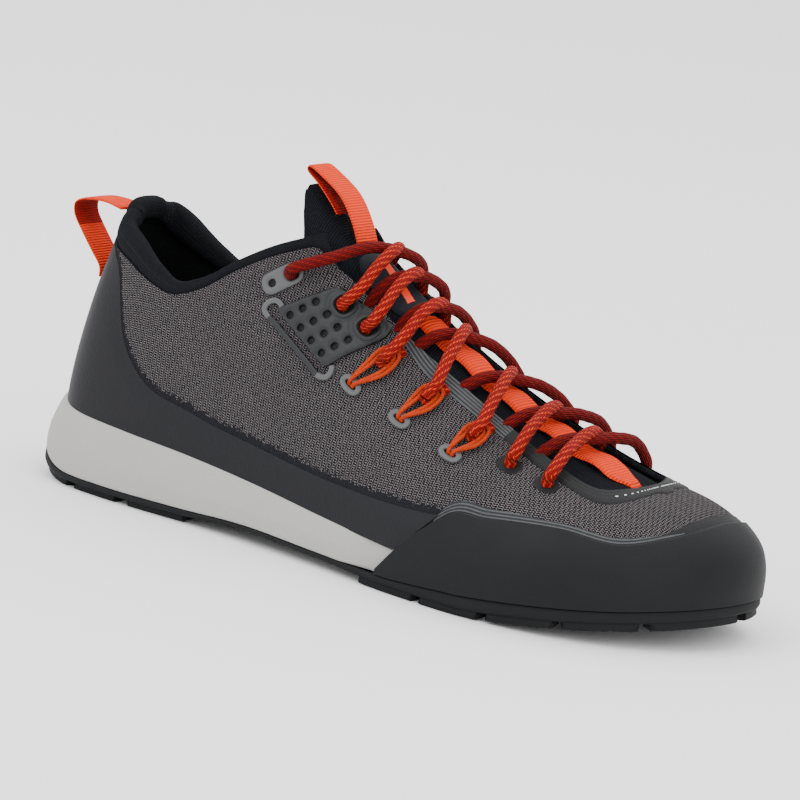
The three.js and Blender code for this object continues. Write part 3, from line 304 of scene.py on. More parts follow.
def wall_point(t, z, lift):
    """Wall point at a height: on the last above the seat, straight down from it below."""
    t, z, lift = np.broadcast_arrays(*(np.asarray(v, float) for v in (t, z, lift)))
    s = section_at(t)
    above = skin_point(t, angle_at(t, z), lift)
    below = np.stack([s.x + s.ox * lift, s.y + s.oy * lift, z], -1)
    return np.where((z > s.seat + 0.05)[..., None], above, below)


def throat_angle(t, width=0.0):
    """Angle of the throat edge, a superellipse in plan round the end of the spine, moved outwards."""
    s = section_at(t)
    dx, dy = s.x - s.cx, s.y - s.cy
    radius = np.hypot(dx, dy)
    forward = np.maximum(dx, 0) / radius / (THROAT_END + width)
    sideways = np.abs(dy) / radius / (s.gap + width)
    reach = (forward ** 2.6 + sideways ** 2.6) ** (-1 / 2.6)
    return np.arccos(np.clip(reach / radius, 0.02, 0.99) ** (s.plan / 2))


def side_station(t):
    """Station counted from the heel centre along either side."""
    wrapped = np.mod(t, STATIONS)
    return np.where(wrapped > TOE, STATIONS - wrapped, wrapped)


def collar_value(t, name):
    """Collar table in millimetres; the medial rim dips a little nearer the heel."""
    station = side_station(t)
    bump = np.clip(np.minimum(station - 1.5, 6 - station) / 2, 0, 1)
    shifted = np.where(np.mod(t, STATIONS) > TOE, station + 0.25 * bump, station)
    return cubic(COLLAR, "station", name, shifted) * HEEL_HEIGHT


def edge_angle(t):
    """Top edge of the upper: the collar line behind, the throat edge in front, softly joined."""
    throat = throat_angle(t)
    collar = angle_at(t, collar_value(t, "rim") - collar_value(t, "band"))
    blend = -0.02 * np.log(np.exp(-throat / 0.02) + np.exp(-collar / 0.02))
    station = side_station(t)
    return np.where(station > 7, throat, np.where(station < 5, collar, blend))


def ridge_across(x):
    """Sideways place of the ridge in millimetres."""
    return cubic(SPINE, "along", "across", x / LENGTH) * BALL_WIDTH


def plan_to_last(x, y):
    """Station and angle over a plan position, found by halving the interval of stations."""
    x, y = np.broadcast_arrays(np.asarray(x, float), np.asarray(y, float))
    low, high = np.full(x.shape, 0.5), np.full(x.shape, float(TOE))
    mirror = y > ridge_across(np.clip(x / LENGTH, SPINE["along"][0], SPINE["along"][-1]) * LENGTH)
    for _ in range(34):
        middle = (low + high) / 2
        s = section_at(np.where(mirror, STATIONS - middle, middle))
        turn = (s.x - s.cx) * (y - s.cy) - (s.y - s.cy) * (x - s.cx)
        over = np.where(mirror, turn > 0, turn < 0)
        high, low = np.where(over, middle, high), np.where(over, low, middle)
    t = np.where(mirror, STATIONS - (low + high) / 2, (low + high) / 2)
    s = section_at(t)
    rho = np.hypot(x - s.cx, y - s.cy) / np.hypot(s.x - s.cx, s.y - s.cy)
    return t, np.arccos(np.clip(rho, 0, 0.999) ** (s.plan / 2))


def roof_point(x, y, lift):
    """Roof point over a plan position, lifted along the normal of the roof."""
    x, y = np.broadcast_arrays(np.asarray(x, float), np.asarray(y, float))

    def height(px, py):
        return last_point(*plan_to_last(px, py))[..., 2]

    step = 0.8
    dx = (height(x + step, y) - height(x - step, y)) / (2 * step)
    dy = (height(x, y + step) - height(x, y - step)) / (2 * step)
    normal = unit(np.stack([-dx, -dy, np.ones_like(dx)], -1))
    return np.stack([x, y, height(x, y)], -1) + normal * np.broadcast_to(lift, x.shape)[..., None]


def frame_at(t, angle, turn=0.0):
    """Tangent frame on the last: forward along the station line, up the side, outwards."""
    side = -1 if t > TOE else 1
    step = 0.01
    forward = unit(last_point(t + side * step, angle) - last_point(t - side * step, angle))
    upward = last_point(t, angle + step) - last_point(t, angle - step)
    normal = unit(np.cross(forward, upward)) * side
    up = unit(np.cross(normal, forward)) * side
    c, s = math.cos(turn), math.sin(turn)
    return SimpleNamespace(t=float(t), angle=float(angle), origin=last_point(t, angle),
                           forward=forward * c + up * s, up=up * c - forward * s, normal=normal)


def drape(place, a, b, lift):
    """Points on the last from flat coordinates in a tangent frame, by Newton's method."""
    a, b, lift = np.broadcast_arrays(*(np.asarray(v, float) for v in (a, b, lift)))
    target = place.origin + a[..., None] * place.forward + b[..., None] * place.up
    t, angle = np.full(a.shape, place.t), np.full(a.shape, place.angle)
    step = 0.001
    for _ in range(8):
        at = last_point(t, angle)
        miss = target - at
        by_t = (last_point(t + step, angle) - at) / step
        by_angle = (last_point(t, angle + step) - at) / step
        m = [by_t @ place.forward, by_angle @ place.forward, by_t @ place.up, by_angle @ place.up]
        det = m[0] * m[3] - m[1] * m[2]
        e = [miss @ place.forward, miss @ place.up]
        t = t + (e[0] * m[3] - e[1] * m[1]) / det
        angle = np.clip(angle + (m[0] * e[1] - m[2] * e[0]) / det, 0.01, 1.56)
    return skin_point(t, angle, lift)


def flat_map(t, angle):
    """Unrolled plan of the last in millimetres: each point lies at its true distance from the
    ridge along its section, and round the heel the sections stand side by side."""
    steps = np.linspace(0, np.pi / 2, 40)
    s = section_at(t)
    line = last_point(t[:, None], steps[None, :])
    length = np.cumsum(np.linalg.norm(np.diff(line, axis=1), axis=2), axis=1)
    length = np.concatenate([np.zeros((len(t), 1)), length], 1)
    total = length[:, -1]
    each = np.broadcast_to(angle, (len(t), angle.shape[-1]))
    rows = [np.interp(a, steps, row) for a, row in zip(each, length)]
    reach = total[:, None] - np.array(rows)
    dx, dy = s.x - s.cx, s.y - s.cy
    size = np.hypot(dx, dy)
    heel = np.arctan2(np.maximum(-dx, 0), np.abs(dy))[:, None]
    across = np.where(dx < 0, np.sign(dy), dy / size)[:, None] * reach
    ahead = np.maximum(dx, 0)[:, None] / size[:, None] * reach - 46 * heel
    return np.stack([s.cx[:, None] + ahead, s.cy[:, None] + across], -1)


def smooth_line(points, count, closed=False):
    """Smooth curve through points, with the parameter growing as the root of the distance."""
    p = np.asarray(points, float)
    if closed:
        p = np.concatenate([p[-3:], p, p[:4]])
    steps = np.sqrt(np.maximum(np.linalg.norm(np.diff(p, axis=0), axis=1), 1e-6))
    where = np.concatenate([[0], np.cumsum(steps)])
    low, high = (where[3], where[-4]) if closed else (where[0], where[-1])
    q = np.linspace(low, high, count + 1)[: count if closed else None]
    rows = {"q": where, "x": p[:, 0], "y": p[:, 1], "z": p[:, 2]}
    return np.stack([cubic(rows, "q", name, q) for name in "xyz"], -1)


def sweep(line, hint, section, scale=None, closed=False):
    """Section carried along a line; hint is the direction that the thickness looks towards."""
    if closed:
        tangent = np.roll(line, -1, 0) - np.roll(line, 1, 0)
    else:
        tangent = np.gradient(line, axis=0)
    wide = unit(np.cross(tangent, hint))
    thick = unit(np.cross(wide, tangent))
    scale = np.ones(len(line)) if scale is None else scale
    section = np.asarray(section, float)[None, :, :] * scale[:, None, None]
    return line[:, None, :] + wide[:, None, :] * section[..., 0:1] + thick[:, None, :] * section[..., 1:2]


def circle(radius, sides, flat=1.0):
    """Round or oval section."""
    a = 2 * np.pi * np.arange(sides) / sides
    return np.stack([radius * np.cos(a), radius * flat * np.sin(a)], -1)


def ribbon(width, thickness, sides=20):
    """Flat section with soft edges: a superellipse of power 6 across and 2.5 through."""
    a = 2 * np.pi * (np.arange(sides) + 0.5) / sides
    return np.stack([width / 2 * np.sign(np.cos(a)) * np.abs(np.cos(a)) ** 0.3,
                     thickness / 2 * np.sign(np.sin(a)) * np.abs(np.sin(a)) ** 0.6], -1)


def line_uv(line, sides, closed=False):
    """Length along the line in millimetres, and the turn round it from 0 to 1."""
    ends = np.concatenate([line, line[:1]]) if closed else line
    u = np.concatenate([[0], np.cumsum(np.linalg.norm(np.diff(ends, axis=0), axis=1))])
    u, v = np.meshgrid(u, np.linspace(0, 1, sides + 1), indexing="ij")
    return np.stack([u, v], -1)


def round_corners(corners, radius, steps=6):
    """Closed polygon with each corner rounded by a quadratic curve."""
    p = np.array(corners, float)
    before, after = unit(np.roll(p, 1, 0) - p), unit(np.roll(p, -1, 0) - p)
    f = np.linspace(0, 1, steps)[None, :, None]
    a, b = p + before * radius, p + after * radius
    return ((1 - f) ** 2 * a[:, None] + 2 * f * (1 - f) * p[:, None] + f * f * b[:, None]).reshape(-1, 2)


def spaced(loop, spacing):
    """Closed polygon with points at even distances."""
    ends = np.concatenate([loop, loop[:1]])
    d = np.concatenate([[0], np.cumsum(np.linalg.norm(np.diff(ends, axis=0), axis=1))])
    q = np.linspace(0, d[-1], max(8, int(d[-1] / spacing)) + 1)[:-1]
    return np.stack([np.interp(q, d, ends[:, k]) for k in (0, 1)], -1)


def inside(points, loop):
    """Which points lie in a closed polygon, by counting the crossings of a ray."""
    a, b = loop, np.roll(loop, -1, 0)
    x, y = points[:, 0:1], points[:, 1:2]
    cross = (a[None, :, 1] > y) != (b[None, :, 1] > y)
    with np.errstate(divide="ignore", invalid="ignore"):
        slope = (b[None, :, 0] - a[None, :, 0]) / (b[None, :, 1] - a[None, :, 1])
        at = a[None, :, 0] + (y - a[None, :, 1]) * slope
    return (cross & (x < at)).sum(1) % 2 == 1


def edge_distance(points, loops):
    """Distance to the nearest point of some dense closed polygons."""
    every = np.concatenate(loops)
    return np.linalg.norm(points[:, None] - every[None], axis=2).min(1)


class Surface:
    """Grids and faces gathered into one mesh, in millimetres of the shoe."""

    def __init__(self):
        self.points, self.faces, self.uvs, self.looks, self.marks = [], [], [], [], []
        self.count = 0

    def grid(self, points, uv=None, around=False, closed=False, look=0, mark=None):
        """Quads over a grid of points; closed joins the first axis and around the second."""
        n, m = points.shape[:2]
        rows, columns = (n if closed else n - 1), (m if around else m - 1)
        i, j = np.meshgrid(np.arange(rows), np.arange(columns), indexing="ij")
        corners = [(i, j), (i + 1, j), (i + 1, j + 1), (i, j + 1)]
        faces = np.stack([(a % n) * m + b % m for a, b in corners], -1).reshape(-1, 4)
        if uv is None:
            uv = np.stack(np.meshgrid(np.arange(n + 1.0), np.arange(m + 1.0), indexing="ij"), -1)
        wide, high = uv.shape[:2]
        at = np.stack([np.minimum(a, wide - 1) * high + np.minimum(b, high - 1) for a, b in corners], -1)
        self.add(points.reshape(-1, 3), faces, uv.reshape(-1, 2)[at.reshape(-1)], look, mark)
        return self

    def add(self, points, faces, uv, look=0, mark=None):
        """Points with faces of one size; uv holds one pair for each corner of each face."""
        faces = np.asarray(faces)
        self.points.append(points)
        self.faces.append(faces + self.count)
        self.uvs.append(np.asarray(uv, float))
        self.looks.append(np.broadcast_to(look, (len(faces),)))
        marks = 0.0 if mark is None else np.asarray(mark).reshape(-1)
        self.marks.append(np.broadcast_to(marks, (len(points),)))
        self.count += len(points)

    def build(self, name, materials, stands_for, slot):
        """One smooth-shaded object on the shoe, in metres, in place of its CAD nodes."""
        points = np.concatenate(self.points) * 0.001 + SHIFT
        mesh = bpy.data.meshes.new(name)
        corners = np.concatenate([f.reshape(-1) for f in self.faces])
        sizes = np.concatenate([np.full(len(f), f.shape[1]) for f in self.faces])
        mesh.vertices.add(len(points))
        mesh.vertices.foreach_set("co", points.astype(np.float32).reshape(-1))
        mesh.loops.add(len(corners))
        mesh.loops.foreach_set("vertex_index", corners.astype(np.int32))
        mesh.polygons.add(len(sizes))
        mesh.polygons.foreach_set("loop_start", np.concatenate([[0], np.cumsum(sizes)[:-1]]).astype(np.int32))
        mesh.polygons.foreach_set("material_index", np.concatenate(self.looks).astype(np.int32))
        mesh.polygons.foreach_set("use_smooth", np.ones(len(sizes), bool))
        plan = mesh.uv_layers.new(name="UVMap").data
        plan.foreach_set("uv", np.concatenate(self.uvs).astype(np.float32).reshape(-1))
        mark = mesh.attributes.new("mark", "FLOAT", "POINT")
        mark.data.foreach_set("value", np.concatenate(self.marks).astype(np.float32))
        mesh.update(calc_edges=True)
        mesh.validate()
        for material in materials:
            mesh.materials.append(material)
        piece = bpy.data.objects.new(name, mesh)
        bpy.context.scene.collection.objects.link(piece)
        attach(piece, "root")
        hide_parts(*stands_for)
        return piece


def frame_shift():
    """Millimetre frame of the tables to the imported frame, from the corner of the insole."""
    t = np.linspace(0, STATIONS, 57)[:-1]
    p = foot_at(t, outline("flare", t)[0] * BALL_WIDTH + LEDGE + UPPER_WALL + 0.6)
    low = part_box("insole")[0]
    return np.array([low.x - p.x.min() * 0.001, low.y - p.y.min() * 0.001, 0.0])


SHIFT = frame_shift()


def linear(code):
    """sRGB hex colour as linear RGBA."""
    parts = [int(code[k:k + 2], 16) / 255 for k in (1, 3, 5)]
    return tuple(c / 12.92 if c <= 0.04045 else ((c + 0.055) / 1.055) ** 2.4 for c in parts) + (1.0,)


class Look:
    """A node material under construction."""

    def __init__(self, name, roughness=0.7, coat=0.0, sheen=0.0, specular=0.5):
        self.material = bpy.data.materials.new(name)
        self.material.use_nodes = True
        self.tree = self.material.node_tree
        self.shader = self.tree.nodes["Principled BSDF"]
        self.set(self.shader, {"Roughness": roughness, "Coat Weight": coat, "Sheen Weight": sheen,
                               "Sheen Roughness": 0.5, "Specular IOR Level": specular})
        self.uv = self.node("ShaderNodeSeparateXYZ", {0: self.node("ShaderNodeUVMap").outputs[0]})
        self.place = self.node("ShaderNodeTexCoord").outputs["Object"]

    def set(self, node, inputs):
        """Values or links for the inputs of a node."""
        for key, value in inputs.items():
            if isinstance(value, bpy.types.NodeSocket):
                self.tree.links.new(value, node.inputs[key])
            else:
                node.inputs[key].default_value = value
        return node

    def node(self, kind, inputs=None, **settings):
        """One node with its settings and inputs."""
        node = self.tree.nodes.new(kind)
        for key, value in settings.items():
            setattr(node, key, value)
        return self.set(node, inputs or {})

    def math(self, kind, a, b=0.0, c=0.0):
        """One arithmetic node."""
        return self.node("ShaderNodeMath", {0: a, 1: b, 2: c}, operation=kind).outputs[0]

    def mix(self, factor, a, b):
        """Blend of two colours."""
        node = self.node("ShaderNodeMix", {0: factor, 6: a, 7: b}, data_type="RGBA")
        return node.outputs[2]

    def step(self, value, low, high):
        """Soft step of a value."""
        node = self.node("ShaderNodeMapRange", {0: value, 1: low, 2: high}, interpolation_type="SMOOTHSTEP")
        return node.outputs[0]

    def wave(self, value, pitch, phase=0.0):
        """Sine from 0 to 1 with a pitch in the units of the value."""
        turned = self.math("MULTIPLY_ADD", value, 2 * math.pi / pitch, phase)
        return self.math("MULTIPLY_ADD", self.math("SINE", turned), 0.5, 0.5)

    def noise(self, scale, detail=2.0, vector=None):
        """Noise with a scale in cycles per metre of the object."""
        inputs = {"Vector": self.place if vector is None else vector, "Scale": scale, "Detail": detail}
        return self.node("ShaderNodeTexNoise", inputs).outputs["Fac"]

    def bump(self, height, distance, strength=1.0):
        """Relief of the surface; distance in metres."""
        made = self.node("ShaderNodeBump", {"Height": height, "Distance": distance, "Strength": strength})
        if self.shader.inputs["Normal"].is_linked:
            before = self.shader.inputs["Normal"].links[0].from_socket
            self.tree.links.new(before, made.inputs["Normal"])
        self.set(self.shader, {"Normal": made.outputs[0]})

    def colour(self, value):
        """Base colour from a socket or a hex code."""
        self.set(self.shader, {"Base Color": linear(value) if isinstance(value, str) else value})
        return self.material


def knit_look(cell, relief):
    """Warm grey engineered knit: zigzag courses of dark and light yarn, dotted with film near the counter."""
    look = Look("warm grey polyester knit", roughness=0.95, specular=0.12)
    u, v = look.uv.outputs[0], look.uv.outputs[1]
    zigzag = look.math("PINGPONG", u, cell * 1.3)
    course = look.math("MULTIPLY_ADD", look.noise(170.0), cell, look.math("MULTIPLY_ADD", zigzag, 0.55, v))
    a = look.wave(course, cell)
    b = look.wave(u, cell * 1.25)
    c = look.wave(look.math("ADD", u, look.math("MULTIPLY", v, 0.6)), cell * 2.5)
    yarn = look.math("MULTIPLY", look.math("ADD", a, look.math("MULTIPLY", b, 0.6)), 0.625)
    grain = look.noise(900.0, 2.0)
    value = look.math("ADD", yarn, look.math("MULTIPLY_ADD", grain, 0.5, -0.25))
    value = look.math("ADD", value, look.math("MULTIPLY_ADD", c, 0.16, -0.08))
    tone = look.mix(look.step(value, 0.45, 0.7), linear("#050406"), linear("#645f61"))
    broad = look.step(look.noise(28.0), 0.3, 0.75)
    tone = look.mix(look.math("MULTIPLY", broad, 0.12), tone, linear("#201d1e"))
    mark = look.node("ShaderNodeAttribute", attribute_name="mark").outputs["Fac"]
    bare = look.math("MULTIPLY_ADD", grain, 1.2, -0.1)
    dots = look.step(look.math("SUBTRACT", look.math("MULTIPLY", mark, 1.3), bare), 0.0, 0.12)
    look.bump(value, 0.0005 * relief)
    return look.colour(look.mix(dots, tone, linear("#1b1b20")))


def dark_knit_look(name, base, fleck, amount, pitch=0.9):
    """Dark fine knit or mesh with a few lighter yarns."""
    look = Look(name, roughness=0.95, specular=0.06)
    u, v = look.uv.outputs[0], look.uv.outputs[1]
    a, b = look.wave(u, pitch), look.wave(v, pitch * 0.8)
    value = look.math("MULTIPLY", a, b)
    grain = look.noise(700.0, 3.0)
    spots = look.step(look.math("ADD", value, look.math("MULTIPLY", grain, 0.8)), 0.75, 1.15)
    look.bump(look.math("ADD", value, grain), 0.00025)
    return look.colour(look.mix(look.math("MULTIPLY", spots, amount), linear(base), linear(fleck)))


def film_look(name, code, roughness, spread=0.3):
    """Heat-bonded film: even colour with the knit faintly showing through."""
    look = Look(name, roughness=roughness, specular=0.2)
    u, v = look.uv.outputs[0], look.uv.outputs[1]
    under = look.math("MULTIPLY", look.wave(u, 1.3), look.wave(v, 1.1))
    grain = look.noise(600.0, 3.0)
    look.bump(look.math("ADD", look.math("MULTIPLY", under, 0.5), grain), 0.00012)
    tone = look.mix(look.math("MULTIPLY", look.noise(40.0), spread), linear(code), linear("#101013"))
    return look.colour(tone)


def rubber_look(name, code, roughness):
    """Moulded rubber: fine bloom, slightly uneven gloss."""
    look = Look(name, roughness=roughness, specular=0.16)
    grain = look.noise(1400.0, 3.0)
    look.bump(grain, 0.00008)
    gloss = look.math("MULTIPLY_ADD", look.noise(60.0), 0.18, roughness - 0.09)
    look.set(look.shader, {"Roughness": gloss})
    return look.colour(look.mix(look.noise(35.0), linear(code), linear("#131416")))


def foam_look():
    """Moulded foam: light grey skin with a very fine pebble."""
    look = Look("light grey moulded EVA foam", roughness=0.75, specular=0.3)
    grain = look.noise(1100.0, 4.0)
    look.bump(grain, 0.00025)
    cloud = look.math("MULTIPLY", look.noise(50.0), 0.35)
    return look.colour(look.mix(cloud, linear("#9d9c9a"), linear("#8f8e8c")))


def webbing_look(name, code, dark, pitch):
    """Woven webbing: ribs across the strap, with painted shade in the groove between them."""
    look = Look(name, roughness=0.85, specular=0.15)
    rib = look.wave(look.uv.outputs[0], pitch)
    weave = look.math("MULTIPLY_ADD", look.wave(look.uv.outputs[1], 0.035), 0.25, 0.0)
    height = look.math("ADD", rib, weave)
    look.bump(height, 0.0004)
    # painted shade: the grooves between the ribs are mixed halfway towards the dark colour; the noise mix gives
    # random tone
    groove_shade = look.step(rib, 0.0, 0.6)
    tone = look.mix(look.math("MULTIPLY", look.noise(300.0), 0.25), linear(code), linear(dark))
    return look.colour(look.mix(groove_shade, look.mix(0.55, tone, linear(dark)), tone))


def braid_look(name, base, fleck, groove_shade, amount):
    """Braided lace: lengthwise strands with dashes of a brighter yarn, and painted shade in the grooves between
    them.
    """
    look = Look(name, roughness=0.8, specular=0.15)
    u, v = look.uv.outputs[0], look.uv.outputs[1]
    lanes = look.math("MULTIPLY", v, 18.0)
    lane = look.math("FLOOR", lanes)
    share = look.math("FRACT", lanes)
    aside = look.math("ABSOLUTE", look.math("SUBTRACT", share, 0.5))
    ridge = look.math("MULTIPLY_ADD", aside, -2.0, 1.0)
    turned = look.math("ADD", u, look.math("MULTIPLY", lane, 1.37))
    dash = look.wave(look.math("MULTIPLY_ADD", share, 0.5, turned), 4.2)
    grain = look.noise(900.0, 2.0)
    bright = look.step(look.math("ADD", dash, look.math("MULTIPLY_ADD", grain, 1.2, -0.6)), 0.66, 0.92)
    tone = look.mix(look.math("MULTIPLY", bright, amount), linear(base), linear(fleck))
    # painted shade: the grooves between the strands take the dark groove colour
    tone = look.mix(look.step(ridge, 0.0, 0.42), linear(groove_shade), tone)
    look.bump(look.math("ADD", ridge, look.math("MULTIPLY", dash, 0.5)), 0.0006)
    return look.colour(tone)


def trim_look(name, light, dark, pitch):
    """Ribbed moulded band: fine ribs along its length, darker in the troughs between them as painted shade."""
    look = Look(name, roughness=0.55, specular=0.2)
    rib = look.wave(look.uv.outputs[1], pitch)
    grain = look.noise(500.0, 3.0)
    look.bump(look.math("MULTIPLY_ADD", grain, 0.4, rib), 0.0004)
    # painted shade: the troughs between the ribs take the dark colour and the crests the light one, varied at
    # random by the grain
    crest = look.math("MULTIPLY", rib, look.math("MULTIPLY_ADD", grain, 0.8, 0.5))
    return look.colour(look.mix(crest, linear(dark), linear(light)))


def plastic_look(name, code, roughness, grain_size=900.0):
    """Injection-moulded plastic with a fine spark-eroded grain."""
    look = Look(name, roughness=roughness, specular=0.28)
    look.bump(look.noise(grain_size, 3.0), 0.0001)
    return look.colour(code)


def material(name, make, *args):
    """A finish made once and shared by the pieces."""
    if name not in LOOKS:
        LOOKS[name] = make(*args)
    return LOOKS[name]


LOOKS = {}


def shoe_looks(sizes):
    """Every finish of the shoe by a short name."""
    m = material
    pitch = sizes.rib_pitch * 1000
    return SimpleNamespace(
        knit=m("knit", knit_look, sizes.knit_cell * 1000, sizes.knit_relief),
        lining=m("lining", dark_knit_look, "black knitted lining", "#111214", "#2a2b2f", 0.5),
        collar=m("collar", dark_knit_look, "black padded rib knit", "#121316", "#2e2f34", 0.5, 0.8),
        tongue=m("tongue", dark_knit_look, "navy spacer mesh", "#0d0e12", "#2b2e36", 0.7, 0.9),
        film=m("film", film_look, "charcoal bonded film", "#111116", 0.6),
        black_film=m("black_film", film_look, "black bonded film", "#0a0b0d", 0.6),
        rand=m("rand", rubber_look, "matte climbing rubber", "#0b0b0d", 0.6),
        outsole=m("outsole", rubber_look, "carbon black outsole rubber", "#111213", 0.7),
        foam=m("foam", foam_look),
        webbing=m("webbing", webbing_look, "orange woven webbing", "#f03c0c", "#a81f04", pitch),
        # webbing_in_shade: a darker red copy of the webbing, painted shade on the turned-in faces of the straps
        webbing_in_shade=m("webbing_in_shade", webbing_look, "dark red webbing face", "#a01208", "#5e0703", pitch),
        # the third colour of each braid is painted shade for the grooves between its strands
        cord=m("cord", braid_look, "orange braided cord", "#ff4a12", "#ff7a40", "#c03408", 0.4),
        lace=m("lace", braid_look, "red lace with orange yarn", "#960a05", "#ff5226", "#2a0201", 0.62),
        # lace_far_shade: a darker copy of the lace with fewer flecks, painted shade on the far strands
        lace_far_shade=m("lace_far_shade", braid_look, "deep red lace", "#6b0303", "#a81608", "#220101", 0.5),
        # the second trim colour is painted shade for the troughs between the ribs
        trim=m("trim", trim_look, "grey ribbed trim", "#4e5053", "#191b1d", 1.3),
        wing=m("wing", plastic_look, "dark grey moulded plastic", "#1c1d1f", 0.5),
        plate=m("plate", plastic_look, "light grey moulded plastic", "#4a4b4c", 0.45),
        badge=m("badge", film_look, "navy printed patch", "#0a0f18", 0.7),
        bar=m("bar", plastic_look, "orange printed bar", "#f03c0c", 0.5),
        thread=m("thread", plastic_look, "white sewing thread", "#c9cacc", 0.8),
    )


def shell_profile(rows, top):
    """Closed profile of a sheet: share of the height and share of the thickness, up and back."""
    up = np.linspace(0, 1, rows)
    turn = np.linspace(0, np.pi, 7)[1:-1]
    share = np.concatenate([up, 1 + top * np.sin(turn), up[::-1]])
    depth = np.concatenate([np.zeros(rows), 0.5 - 0.5 * np.cos(turn), np.ones(rows)])
    return share, depth


def crease(points, centre, direction, length, width, depth):
    """Soft trough along a short line: depth falls off as a bell across and along it."""
    d = points - np.array(centre)
    axis = unit(np.array(direction, float))
    along = d @ axis
    aside = np.linalg.norm(d - along[..., None] * axis, axis=-1)
    return -depth * np.exp(-(aside / width) ** 2) * np.exp(-(along / length) ** 4)


def build_upper(looks):
    """Knit shell through the sections of the last, with its lining inside, a soft step where the
    padding ends and shallow flexing creases over the ball."""
    t = np.linspace(0, STATIONS, 561)[:-1]
    share, depth = shell_profile(72, 0.012)
    top = edge_angle(t)[:, None]
    angle = np.clip(top * share[None, :] ** 0.85, 0.001, 1.56)
    base = last_point(t[:, None], angle)
    relief = crease(base, (196, -42, 42), (0.25, -0.3, -1), 20, 4, 0.22)
    relief = relief + crease(base, (214, -44, 34), (0.3, -0.2, -1), 16, 4, 0.2)
    relief = relief + crease(base, (70, -38, 66), (1, 0.1, 0.5), 26, 6, 0.3)
    relief = relief + crease(base, (206, 52, 40), (0.2, 0.3, -1), 18, 5, 0.25)
    lift = -UPPER_WALL * depth[None, :] + relief * (1 - depth[None, :])
    points = skin_point(t[:, None], angle, lift)
    uv = flat_map(np.append(t, STATIONS), np.concatenate([angle, angle[:1]]))
    line = cubic(COUNTER_LINE, "station", "height", side_station(t))[:, None] * HEEL_HEIGHT
    mark = np.exp(-np.clip(base[..., 2] - line, 0, 40) / 3.2) * (side_station(t) < 9)[:, None]
    inner = np.broadcast_to(np.arange(len(share) - 1)[None, :] > 70, (len(t), len(share) - 1))
    surface = Surface().grid(points, uv, closed=True, look=0, mark=mark)
    surface.looks[0] = inner.astype(int).reshape(-1)
    return surface.build("knit_upper", [looks.knit, looks.lining], ["upper"], "knit")


def build_counter(looks):
    """Film over the heel and low along both sides, thin and tapered to its dotted top line."""
    t = np.linspace(-8.5, 8.5, 341)
    v = np.linspace(0, 1, 26)
    end = (8.02 + 0.48 * v)[None, :]
    tt = np.clip(t[:, None], -end, end)
    s = section_at(tt)
    line = cubic(COUNTER_LINE, "station", "height", side_station(tt)) * HEEL_HEIGHT
    top = np.minimum(line, collar_value(tt, "rim") - collar_value(tt, "band") - 1)
    z = s.seat - 0.6 + (top - s.seat + 0.6) * v[None, :]
    lift = 0.12 + 0.4 * (1 - smooth(0.6, 1.0, v))[None, :]
    points = wall_point(tt, z, lift)
    uv = flat_map(t, np.full((len(t), len(v)), 0.5))
    uv = np.stack([uv[..., 0], z], -1)
    return Surface().grid(points, uv).build("counter_film", [looks.film], ["heel_counter"], "counter_film")


def build_rand(looks):
    """Rubber rand from the outsole seam up round the forefoot, with a rounded top edge and a
    ribbed band above it that turns into a dark wedge of film towards the toe."""
    t = np.concatenate([[7.85, 7.85], np.linspace(7.86, 20.14, 421), [20.15, 20.15]])
    closed_end = np.concatenate([[0], np.ones(len(t) - 2), [0]])[:, None]
    s = section_at(t)
    station = side_station(t)
    foot = s.rise + s.skin + GAP
    top = np.maximum(foot + 1, cubic(RAND_LINE, "station", "height", station) * HEEL_HEIGHT)
    up = np.linspace(0, 1, 34)
    turn = np.linspace(0, np.pi / 2, 7)[1:]
    share = np.concatenate([up[:-1], 1 - 0.02 + 0.02 * np.sin(turn), [1.0]])
    lift = np.concatenate([np.full(33, 1.0), 0.35 + 0.65 * np.cos(turn), [0.0]])
    belly = 0.12 * np.sin(np.pi * np.clip(share, 0, 1)) * smooth(8.6, 10, station)[:, None]
    z = foot[:, None] + (top - foot)[:, None] * share[None, :]
    thin = 1 - 0.4 * smooth(0.6, 1, share)[None, :] * smooth(9, 12, station)[:, None]
    lifts = 0.35 + (RAND_THICKNESS * lift[None, :] * thin + belly * (lift > 0.9)[None, :]) * closed_end
    points = wall_point(t[:, None], z, lifts)
    surface = Surface().grid(points)
    band = np.linspace(8.44, 12.4, 161)
    v = np.linspace(0, 1, 6)

    def strip(where, widths, lift, look):
        line = np.maximum(cubic(RAND_LINE, "station", "height", side_station(where)) * HEEL_HEIGHT, 8)
        angle = angle_at(where, line - 0.4)[:, None]
        step = 0.01
        rise = last_point(where, angle[:, 0] + step) - last_point(where, angle[:, 0] - step)
        slope = np.linalg.norm(rise, axis=-1) / (2 * step)
        angle = angle + (widths / slope)[:, None] * v[None, :]
        uv = np.stack(np.broadcast_arrays(where[:, None] * 22, widths[:, None] * v[None, :]), -1)
        surface.grid(skin_point(where[:, None], np.clip(angle, 0.001, 1.5), lift), uv, look=look)

    width = (5.4 - 1.8 * smooth(8.8, 10, band)) * smooth(8.4, 8.6, band)
    width = width * (1 - 0.5 * smooth(11.2, 12.4, band))
    for mirror in (False, True):
        strip(STATIONS - band if mirror else band, width, 0.4, 1)
    wedge = np.linspace(10.2, 17.8, 221)
    station = side_station(wedge)
    strip(wedge, 5.2 * smooth(10.8, 12.9, station), 0.3, 2)
    return surface.build("rubber_rand", [looks.rand, looks.trim, looks.black_film], ["rand"], "sole_rubber")


def rings(rows, t):
    """Grid of a stack of outline rings, each an inset and a height by station."""
    out = []
    for inset, height in rows:
        p = foot_at(t)
        q = foot_at(t, inset(p, t))
        out.append(np.stack([q.x, q.y, height(p, t)], -1))
    return np.stack(out, 1)


def underside(x, y):
    """Height of the underside, straight across between the edges of the outline."""
    grid = np.linspace(0, TOE, 281)
    t = np.interp(x, foot_at(grid).x, grid)
    near, far = foot_at(t), foot_at(STATIONS - t)
    f = np.clip((y - near.y) / np.maximum(far.y - near.y, 1), 0, 1)
    return near.rise + (far.rise - near.rise) * f


